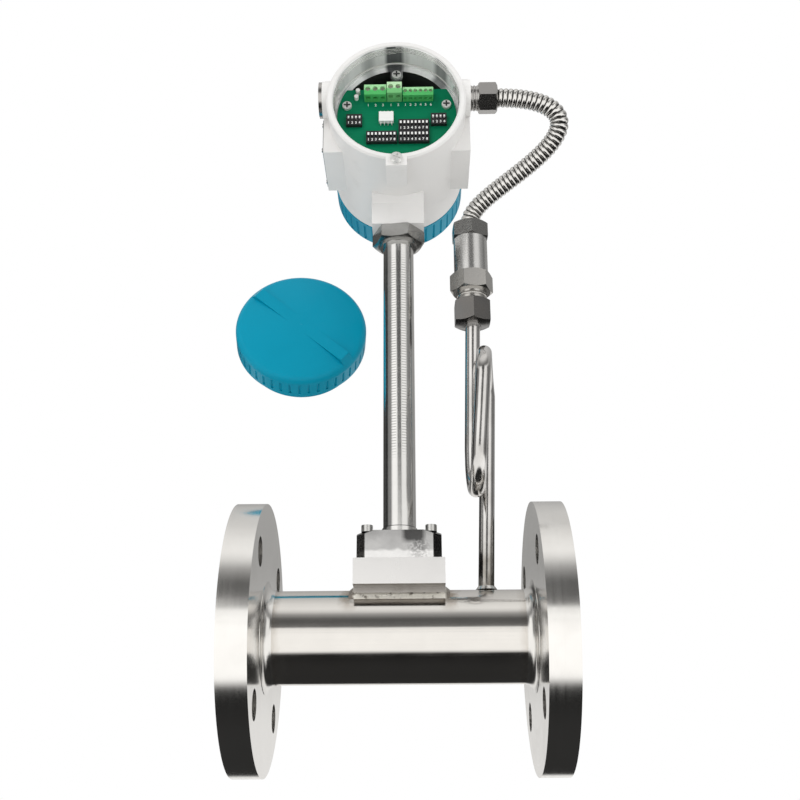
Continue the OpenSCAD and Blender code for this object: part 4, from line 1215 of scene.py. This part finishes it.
@dataclass
class PressureBranch:
    """Siphon, fittings, pressure sensor and conduit."""

    low_bend: float = 109 * MM
    high_bend: float = 160.5 * MM
    tube_r: float = 5 * MM
    bend_r: float = 20 * MM
    bend_steps: int = 24
    bend_shares: tuple[float, float, float] = (0.2, 0.37, 0.53)
    lean_back: float = 8 * MM
    lean_left: float = 2.6 * MM
    lean_right: float = 5.3 * MM
    top_straight: float = 19 * MM
    low_straight: float = 12 * MM
    foot_straight: float = 3 * MM
    hose_r: float = 6.42 * MM
    hose_groove: float = 1.15 * MM
    hose_ridges: int = 48
    hose_points: int = 176
    ridge_steps: int = 14
    hose_reach: float = 72 * MM
    hose_swing: float = 55 * MM
    hose_front: float = -37.6 * MM
    hose_sag: float = 5 * MM
    hose_rise: float = 28.7 * MM
    hose_in: float = 6 * MM
    fitting: Colour = (0.72, 0.72, 0.715)
    edge: float = 0.4 * MM

    def half_turn(self, way: Sequence[float], level: float, side: int,
                  lean: float) -> list[Vector]:
        """One bend of the siphon, half a turn seen from the pipe's end.

        Args:
            way: Where along X it starts and stops.
            level: Height of the bend's centre.
            side: One for the bend that hangs down and minus one for the one that stands up.
            lean: How far it has moved to the back at its end.

        Returns:
            Its points.
        """
        route = []
        for i in range(self.bend_steps + 1):
            share = i / self.bend_steps
            turn = math.pi * share
            route.append(Vector((way[0] + (way[1] - way[0]) * share,
                                 self.bend_r * (side * math.cos(turn) - 1) + lean * share,
                                 level - side * self.bend_r * math.sin(turn))))
        return route

    def siphon_route(self) -> list[Vector]:
        """The middle line of the siphon, from the sensor down to the pipe.

        Returns:
            Its points.
        """
        low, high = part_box("siphon_tube")
        top_x = middle_of("compression_nut").x
        near_x = top_x - self.lean_left
        far_x = high.x - self.tube_r
        foot_x = far_x - self.lean_right
        first, middle, last = (near_x + (far_x - near_x) * share for share in self.bend_shares)
        route = [Vector((top_x, 0, high.z)), Vector((top_x, 0, high.z - self.top_straight)),
                 Vector((near_x, 0, self.low_bend + self.low_straight)),
                 *self.half_turn((near_x, first), self.low_bend, 1, 0.0),
                 Vector((middle, -2 * self.bend_r, (self.low_bend + self.high_bend) / 2)),
                 *self.half_turn((last, far_x), self.high_bend, -1, self.lean_back)]
        foot = Vector((foot_x, 0, low.z + self.foot_straight))
        return route + [route[-1].lerp(foot, 0.5), foot, Vector((foot_x, 0, low.z))]

    def hose_route(self) -> list[Vector]:
        """The middle line of the conduit, from the head's nut to the sensor's nut.

        Returns:
            Its points.
        """
        upper = middle_of("conduit_upper_nut")
        lower = middle_of("conduit_lower_nut")
        leave = Vector((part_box("conduit_upper_nut")[1].x, upper.y, upper.z))
        enter = Vector((lower.x, lower.y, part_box("conduit_lower_nut")[1].z))
        swing = Vector((leave.x + self.hose_swing, self.hose_front,
                        (leave.z + enter.z) / 2 - self.hose_sag))
        handles = [leave, leave + Vector((self.hose_reach, 0, 0)), swing,
                   enter + Vector((0, 0, self.hose_rise)), enter]
        middle = [self.curve(handles, i / self.hose_points) for i in range(self.hose_points + 1)]
        return [leave - Vector((self.hose_in, 0, 0)), *middle, enter - Vector((0, 0, self.hose_in))]

    def curve(self, handles: Sequence[Vector], share: float) -> Vector:
        """A point of the smooth curve that handles pull.

        Args:
            handles: The handles, of which the first and the last lie on the curve.
            share: How much of the way the point has gone.

        Returns:
            The point.
        """
        points = list(handles)
        while len(points) > 1:
            points = [a.lerp(b, share) for a, b in zip(points, points[1:])]
        return points[0]

    def build(self) -> None:
        """Builds the two swept tubes and dresses the fittings."""
        place = middle_of("pressure_sensor")
        axis = (place.x, place.y)
        steel = SiphonSteel("siphon_steel", (0.84, 0.83, 0.82), 0.15, pitch=2 * MM, dull=0.75,
                            wave=0.15 * MM, stain=0.4, stain_colour=(0.25, 0.23, 0.2))
        siphon = hose_shape().make("siphon", steel,
                                   {"Radius": self.tube_r, "Sides": 32, "Step": 1.5 * MM},
                                   path_mesh(self.siphon_route()))
        settle(siphon, "root", "siphon_steel", "siphon_tube")
        route = self.hose_route()
        length = sum((b - a).length for a, b in zip(route, route[1:]))
        pitch = length / self.hose_ridges
        sizes = {"Radius": self.hose_r, "Groove": self.hose_groove, "Pitch": pitch,
                 "Step": pitch / self.ridge_steps, "Helix": 1.0, "Sides": 40}
        bright = Corrugated("conduit_metal", (0.84, 0.83, 0.81), 0.18)
        settle(hose_shape().make("conduit", bright, sizes, path_mesh(route)),
               "root", "conduit_metal", "flexible_conduit")
        dress(Metal("fitting_steel", self.fitting, 0.27, Grain.TURNED_Z, axis, stain=0.2),
              "pressure_sensor")
        dress(Metal("lower_nut_steel", (0.27, 0.27, 0.265), 0.27, stain=0.2), "conduit_lower_nut")
        dress(Metal("base_steel", (0.60, 0.59, 0.57), 0.24, Grain.TURNED_Z, axis), "sensor_base")
        nut = Metal("compression_steel", (0.23, 0.23, 0.23), 0.24, wave=0.15 * MM, stain=0.2)
        round_off("compression_nut", "tube_nut", nut, self.edge, "fitting_steel")
        dress(Metal("entry_steel", (0.52, 0.51, 0.50), 0.24, Grain.ALONG_X),
              "conduit_upper_nut", "gland_adapter", "entry_plug")


@dataclass
class Head:
    """Cast housing and what is fixed to its outside."""

    paint: Colour = (0.84, 0.83, 0.815)
    thread_pitch: float = 1.5 * MM
    thread_turns: int = 4
    thread_steps: int = 72
    thread_start: float = 1.6 * MM
    thread_r: float = 0.3 * MM
    bare_r: float = 42.6 * MM

    def thread(self) -> list[Vector]:
        """The helix of the front mouth's thread.

        Returns:
            Its points.
        """
        axis = middle_of("rear_cover")
        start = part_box("head_housing")[0].y + self.thread_start
        route = []
        for i in range(self.thread_turns * self.thread_steps + 1):
            turn = 2 * math.pi * i / self.thread_steps
            route.append(Vector((axis.x + self.bare_r * math.sin(turn),
                                 start + self.thread_pitch * i / self.thread_steps,
                                 axis.z + self.bare_r * math.cos(turn))))
        return route

    def build(self) -> None:
        """Cuts the thread and dresses the nodes."""
        axis = middle_of("rear_cover")
        dress(CastPaint("housing_paint", self.paint, 0.42, axis=(axis.x, axis.z)), "head_housing")
        bright = Metal("thread_metal", (0.85, 0.85, 0.84), 0.25, pitch=3 * MM, stain=0.0)
        thread = hose_shape().make("mouth_thread", bright,
                                   {"Radius": self.thread_r, "Sides": 6, "Step": 3 * MM},
                                   path_mesh(self.thread()))
        settle(thread, "root", "housing_paint")
        dress(Metal("plate_metal", (0.40, 0.41, 0.43), 0.35, pitch=0.6 * MM, stain=0.3),
              "side_plate")


@dataclass
class Covers:
    """Both covers with their seals, window and ring."""

    teal: Colour = (0.0, 0.305, 0.46)

    def build(self) -> None:
        """Dresses the nodes."""
        dress(Enamel("teal_enamel", self.teal, 0.34), "front_cover", "rear_cover")
        dress(Moulded("seal_rubber", (0.02, 0.02, 0.02), 0.55),
              "front_cover_seal", "rear_cover_seal")
        dress(ClearGlass("window_glass", (0.93, 0.98, 0.97), 0.02), "window_glass")
        dress(Metal("ring_metal", (0.6, 0.6, 0.6), 0.3, Grain.TURNED_Y, stain=0.05), "window_ring")


@dataclass
class DisplaySide:
    """Board, screen and keys behind the window."""

    glass_margin: float = 3 * MM
    face_depth: float = 0.4 * MM
    face_lift: float = 0.1 * MM
    ink_lift: float = 0.24 * MM
    figure: float = 10 * MM
    small_figure: float = 4.5 * MM
    figure_up: float = 3.5 * MM
    small_figure_down: float = 6 * MM

    def build(self) -> None:
        """Adds the lit face with its figures and dresses the nodes."""
        dress(BoardLacquer("display_lacquer", (0.005, 0.14, 0.075), 0.35), "display_board")
        dress(Moulded("screen_black", (0.02, 0.022, 0.025), 0.25, dust=0.02), "display_screen")
        dress(Moulded("key_plastic", (0.75, 0.32, 0.05), 0.5),
              "display_key_1", "display_key_2", "display_key_3")
        low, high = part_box("display_screen")
        middle = Vector(((low.x + high.x) / 2, high.y + self.face_lift, (low.z + high.z) / 2))
        lay_row("screen_face", Moulded("screen_face", (0.42, 0.48, 0.36), 0.22, dust=0.05),
                "screen_black", middle,
                {"Count": 1, "Width": high.x - low.x - 2 * self.glass_margin,
                 "Depth": self.face_depth, "Height": high.z - low.z - 2 * self.glass_margin})
        ink = Moulded("figure_ink", (0.015, 0.018, 0.015), 0.5, dust=0.0)
        front = middle + Vector((0, self.ink_lift, 0))
        marks = [("0.00", front + Vector((0, 0, self.figure_up)), self.figure),
                 ("0000000.0", front - Vector((0, 0, self.small_figure_down)), self.small_figure)]
        settle(figures("screen_figures", ink, True, marks), "root", "screen_black")


@dataclass
class TerminalSide:
    """Board, terminals, switches and what else the open mouth shows."""

    green: Colour = (0.07, 0.46, 0.12)
    leaf: Colour = (0.36, 0.72, 0.36)
    switch_pitch: float = 2.54 * MM
    slider: tuple[float, float, float] = (1.25 * MM, 0.3 * MM, 1.9 * MM)
    slider_up: float = 1.85 * MM
    bank_proud: float = 0.5 * MM
    print_lift: float = 0.04 * MM
    switch_figure: float = 1.9 * MM
    switch_figure_down: float = 2.5 * MM
    block_figure: float = 2.0 * MM
    block_figure_down: float = 2.6 * MM
    screw_head: float = 6.4 * MM

    def switch_faces(self) -> None:
        """White faces on the fixed sliders of the eight-way banks."""
        white = Moulded("slider_white", (0.9, 0.9, 0.88), 0.4, dust=0.05)
        width, depth, height = self.slider
        for bank in ("low", "upper", "lower"):
            low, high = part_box(f"switch_bank_{bank}")
            place = Vector(((low.x + high.x) / 2, low.y, (low.z + high.z) / 2 + self.slider_up))
            lay_row(f"slider_faces_{bank}", white, "white_plastic", place,
                    {"Count": 8, "Pitch": self.switch_pitch, "Width": width, "Depth": depth,
                     "Height": height})

    def prints(self) -> None:
        """White figures under the sliders and the terminal blocks."""
        ink = Moulded("white_ink", (0.88, 0.9, 0.88), 0.6, dust=0.0)
        marks = []
        for bank, count in (("left", 4), ("right", 4), ("low", 8), ("upper", 8), ("lower", 8)):
            low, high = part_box(f"switch_bank_{bank}")
            face = low.y - self.print_lift + (self.bank_proud if count == 8 else 0.0)
            level = (low.z + high.z) / 2 - self.switch_figure_down
            for i in range(count):
                x = (low.x + high.x) / 2 + (i - (count - 1) / 2) * self.switch_pitch
                marks.append((str(i + 1), Vector((x, face, level)), self.switch_figure))
        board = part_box("terminal_board")[0].y - self.print_lift
        for block in (3, 2, 6):
            low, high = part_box(f"terminal_block_{block}")
            for i in range(block):
                x = low.x + (high.x - low.x) * (i + 0.5) / block
                place = Vector((x, board, low.z - self.block_figure_down))
                marks.append((str(i + 1), place, self.block_figure))
        settle(figures("board_figures", ink, False, marks), "root", "white_plastic")

    def crosses(self) -> None:
        """Painted shadow of the cross recesses in the board's screws, as flat dark crosses."""
        low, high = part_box("board_screws")
        axis = middle_of("rear_cover")
        front = low.y - self.print_lift
        radius = self.screw_head / 2
        side = (high.x - low.x) / 2 - radius
        places = [Vector((axis.x - side, front, low.z + radius)),
                  Vector((axis.x + side, front, low.z + radius)),
                  Vector((axis.x, front, high.z - radius))]
        # Painted shadow: near-black crosses where the screws' recesses would hold shade.
        dark = Moulded("recess_shadow", (0.03, 0.03, 0.03), 0.6, dust=0.0)
        marks = [("+", place, self.screw_head) for place in places]
        settle(figures("screw_recess_shadows", dark, False, marks), "root", "screw_steel")

    def build(self) -> None:
        """Dresses the nodes and prints the board."""
        dress(BoardLacquer("board_lacquer", (0.0, 0.215, 0.098), 0.4), "terminal_board")
        dress(TwoTone("terminal_green", self.green, 0.42, self.leaf),
              "terminal_block_3", "terminal_block_6")
        dress(TwoTone("terminal_pale_green", (0.16, 0.5, 0.18), 0.42, (0.5, 0.76, 0.46)),
              "terminal_block_2")
        dress(Metal("terminal_screw", (0.66, 0.68, 0.58), 0.3, pitch=0.4 * MM), "terminal_screws")
        dress(Moulded("zinc_screw", (0.82, 0.82, 0.80), 0.3, metallic=0.4),
              "board_screws", "earth_screw")
        dress(Moulded("switch_black", (0.012, 0.012, 0.014), 0.5, dust=0.04),
              *(f"switch_bank_{bank}" for bank in ("left", "right", "low", "upper", "lower")))
        sliders = [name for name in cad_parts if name.startswith("slider_")]
        dress(Moulded("white_plastic", (0.86, 0.86, 0.84), 0.45),
              "isolation_module", "capacitors", *sliders)
        self.switch_faces()
        self.prints()
        self.crosses()


@dataclass
class Studio:
    """Plain white room with a few grey flags that metal mirrors, floor, lamps and camera.

    The room's greys are pairs of elevation and tone. The dark flags are bands of azimuth,
    which is nought in front of the meter and rises to the right of the picture.
    """

    plain: float = 0.88
    warmth: Colour = (1.0, 0.985, 0.96)
    black: Colour = (0.02, 0.02, 0.02)
    ground: Greys = ((-90, 0.03), (-48, 0.015), (-41, 1.2))
    ceiling: Greys = ((50, 0.42), (57, 0.8), (65, 1.0), (90, 0.88))
    wall: Greys = ((33, 1.2), (38, 0.24), (44, 0.24))
    strip_wall: Greys = ((3.6, 1.2), (4.2, 0.5), (4.8, 1.2), (9.4, 1.2), (10.1, 0.4), (10.8, 1.2),
                         (14.2, 1.2), (15.8, 0.17), (27, 0.12), (36, 0.1), (42, 0.22))
    back_wall: Greys = ((-90, 0.03), (-24, 0.03), (-17, 1.0), (-4, 0.85), (5, 0.8), (12, 0.36),
                        (40, 0.5), (60, 0.62), (90, 0.7))
    flags: Bands = ((84, 26, 14, 0.8), (134, 12, 8, 0.2), (-130, 34, 16, 0.9),
                    (-79, 24, 10, 0.8), (34, 22, 12, 0.14))
    floor_half: float = 3.0
    floor_gap: float = 0.1 * MM
    eye: Vector = field(default_factory=lambda: Vector((114.53, -698.81, -108.78)) * MM)
    pitch: float = 20.763
    yaw: float = -0.979
    roll: float = -0.266
    focal: float = 1124.37
    film: float = 36.0

    def camera(self) -> None:
        """Stands the camera where the photograph's stood."""
        pitch, yaw, roll = (math.radians(a) for a in (self.pitch, self.yaw, self.roll))
        ahead = Vector((math.sin(yaw) * math.cos(pitch), math.cos(yaw) * math.cos(pitch),
                        math.sin(pitch)))
        level = Vector((math.cos(yaw), -math.sin(yaw), 0))
        above = level.cross(ahead)
        right = math.cos(roll) * level + math.sin(roll) * above
        top = math.cos(roll) * above - math.sin(roll) * level
        data = bpy.data.cameras.new("camera")
        data.sensor_width = self.film
        data.lens = self.focal / PICTURE * data.sensor_width
        data.clip_start = 10 * MM
        camera = bpy.data.objects.new("camera", data)
        bpy.context.scene.collection.objects.link(camera)
        turned = Matrix((right, top, -ahead)).transposed().to_4x4()
        camera.matrix_world = Matrix.Translation(self.eye) @ turned
        bpy.context.scene.camera = camera

    def greys(self, graph: ShaderGraph, level: Sock, greys: Greys) -> Sock:
        """One wall's greys, from the ground upwards.

        Args:
            graph: The room's tree.
            level: Height of the direction, from nought to one.
            greys: Elevation and tone of each stop, in rising order.

        Returns:
            The colour.
        """
        stops = []
        for elevation, tone in greys:
            height = (math.sin(math.radians(elevation)) + 1) / 2
            stops.append((height, tuple(tone * part for part in self.warmth)))
        return graph.ramp(level, stops)

    def mirrored(self, graph: ShaderGraph) -> Sock:
        """The white room and its grey flags, by direction.

        Args:
            graph: The room's tree.

        Returns:
            The colour that shiny surfaces mirror.
        """
        level = (graph.z + 1) / 2
        front = self.greys(graph, level, self.ground + self.wall + self.ceiling)
        strip = self.greys(graph, level, self.ground + self.strip_wall + self.ceiling)
        back = self.greys(graph, level, self.back_wall)
        azimuth = graph.x.angle(-graph.y)
        spread = 12 + graph.z.past(0.42, 0.1) * 8
        ahead = graph.mix(azimuth.within(0, spread, 4), front, strip)
        room = graph.mix((-graph.y).past(0.0, 0.3), back, ahead)
        low = graph.z.within(0.24, 0.30, 0.14)
        dark = azimuth.bands(self.flags).limited() * low
        line = azimuth.within(13, 2.5, 2) * graph.z.within(0.36, 0.13, 0.04) * 0.85
        return graph.mix((dark + line).limited(), room, self.black)

    def world(self) -> None:
        """White to the camera, plain grey to matt surfaces, flags to shiny ones."""
        world = bpy.data.worlds.new("room")
        world.use_nodes = True
        bpy.context.scene.world = world
        graph = ShaderGraph(world.node_tree, "Generated")
        rays = graph.add("ShaderNodeLightPath")
        seen, glossy, through = (Sock(graph, rays.outputs[f"Is {kind} Ray"])
                                 for kind in ("Camera", "Glossy", "Transmission"))
        matt = (self.plain,) * 3
        lit = graph.mix((glossy + through).limited(), matt, self.mirrored(graph))
        colour = graph.mix(seen, lit, (1.0, 1.0, 1.0))
        light = graph.sock("ShaderNodeBackground", None, {"Color": colour, "Strength": 1.0})
        graph.add("ShaderNodeOutputWorld", None, {0: light})

    def floor(self) -> None:
        """A wide pale floor, open to a camera that looks from below."""
        low = CAD_BOX[0].z - self.floor_gap
        half = self.floor_half
        mesh = bpy.data.meshes.new("floor")
        corners = [(-half, -half, low), (half, -half, low), (half, half, low), (-half, half, low)]
        mesh.from_pydata(corners, [], [(0, 1, 2, 3)])
        floor = new_object("floor", mesh)
        material = bpy.data.materials.new("floor_white")
        material.use_nodes = True
        graph = ShaderGraph(material.node_tree, "Object")
        under = graph.sock("ShaderNodeNewGeometry", None, None, "Backfacing")
        pale = graph.sock("ShaderNodeBsdfDiffuse", None, {"Color": (0.86, 0.86, 0.85, 1.0)})
        clear = graph.sock("ShaderNodeBsdfTransparent")
        both = graph.sock("ShaderNodeMixShader", None, {0: under, 1: pale, 2: clear})
        graph.add("ShaderNodeOutputMaterial", None, {0: both})
        mesh.materials.append(material)
        floor.visible_glossy = False

    def lamp(self, name: str, place: Place, size: float, power: float) -> None:
        """Hangs a square soft lamp that looks at the meter.

        Args:
            name: Name of the lamp.
            place: Where it hangs.
            size: Side of its square.
            power: Its power in watts.
        """
        data = bpy.data.lights.new(name, "AREA")
        data.size = size
        data.energy = power
        lamp = bpy.data.objects.new(name, data)
        lamp.visible_glossy = False
        bpy.context.scene.collection.objects.link(lamp)
        target = (CAD_BOX[0] + CAD_BOX[1]) / 2
        lamp.location = place
        lamp.rotation_euler = (target - Vector(place)).to_track_quat("-Z", "Y").to_euler()

    def build(self) -> None:
        """Sets up the room, floor, camera and lamps."""
        bpy.context.scene.view_settings.view_transform = "Standard"
        self.world()
        self.floor()
        self.camera()
        self.lamp("key", (-0.6, -1.2, 1.3), 0.7, 6.0)
        self.lamp("fill", (1.2, -0.9, 0.8), 0.9, 3.0)
        self.lamp("rear", (0.3, 1.4, 1.0), 0.9, 4.0)


def main() -> None:
    """Builds every assembly in order."""
    logging.basicConfig(level=logging.INFO, format="%(name)s: %(message)s")
    random.seed(7)
    for assembly in (Studio(), PipeRun(), SensorStem(), PressureBranch(), Head(), Covers(),
                     DisplaySide(), TerminalSide()):
        LOG.info("building %s", type(assembly).__name__)
        assembly.build()


if __name__ == "__main__":
    main()
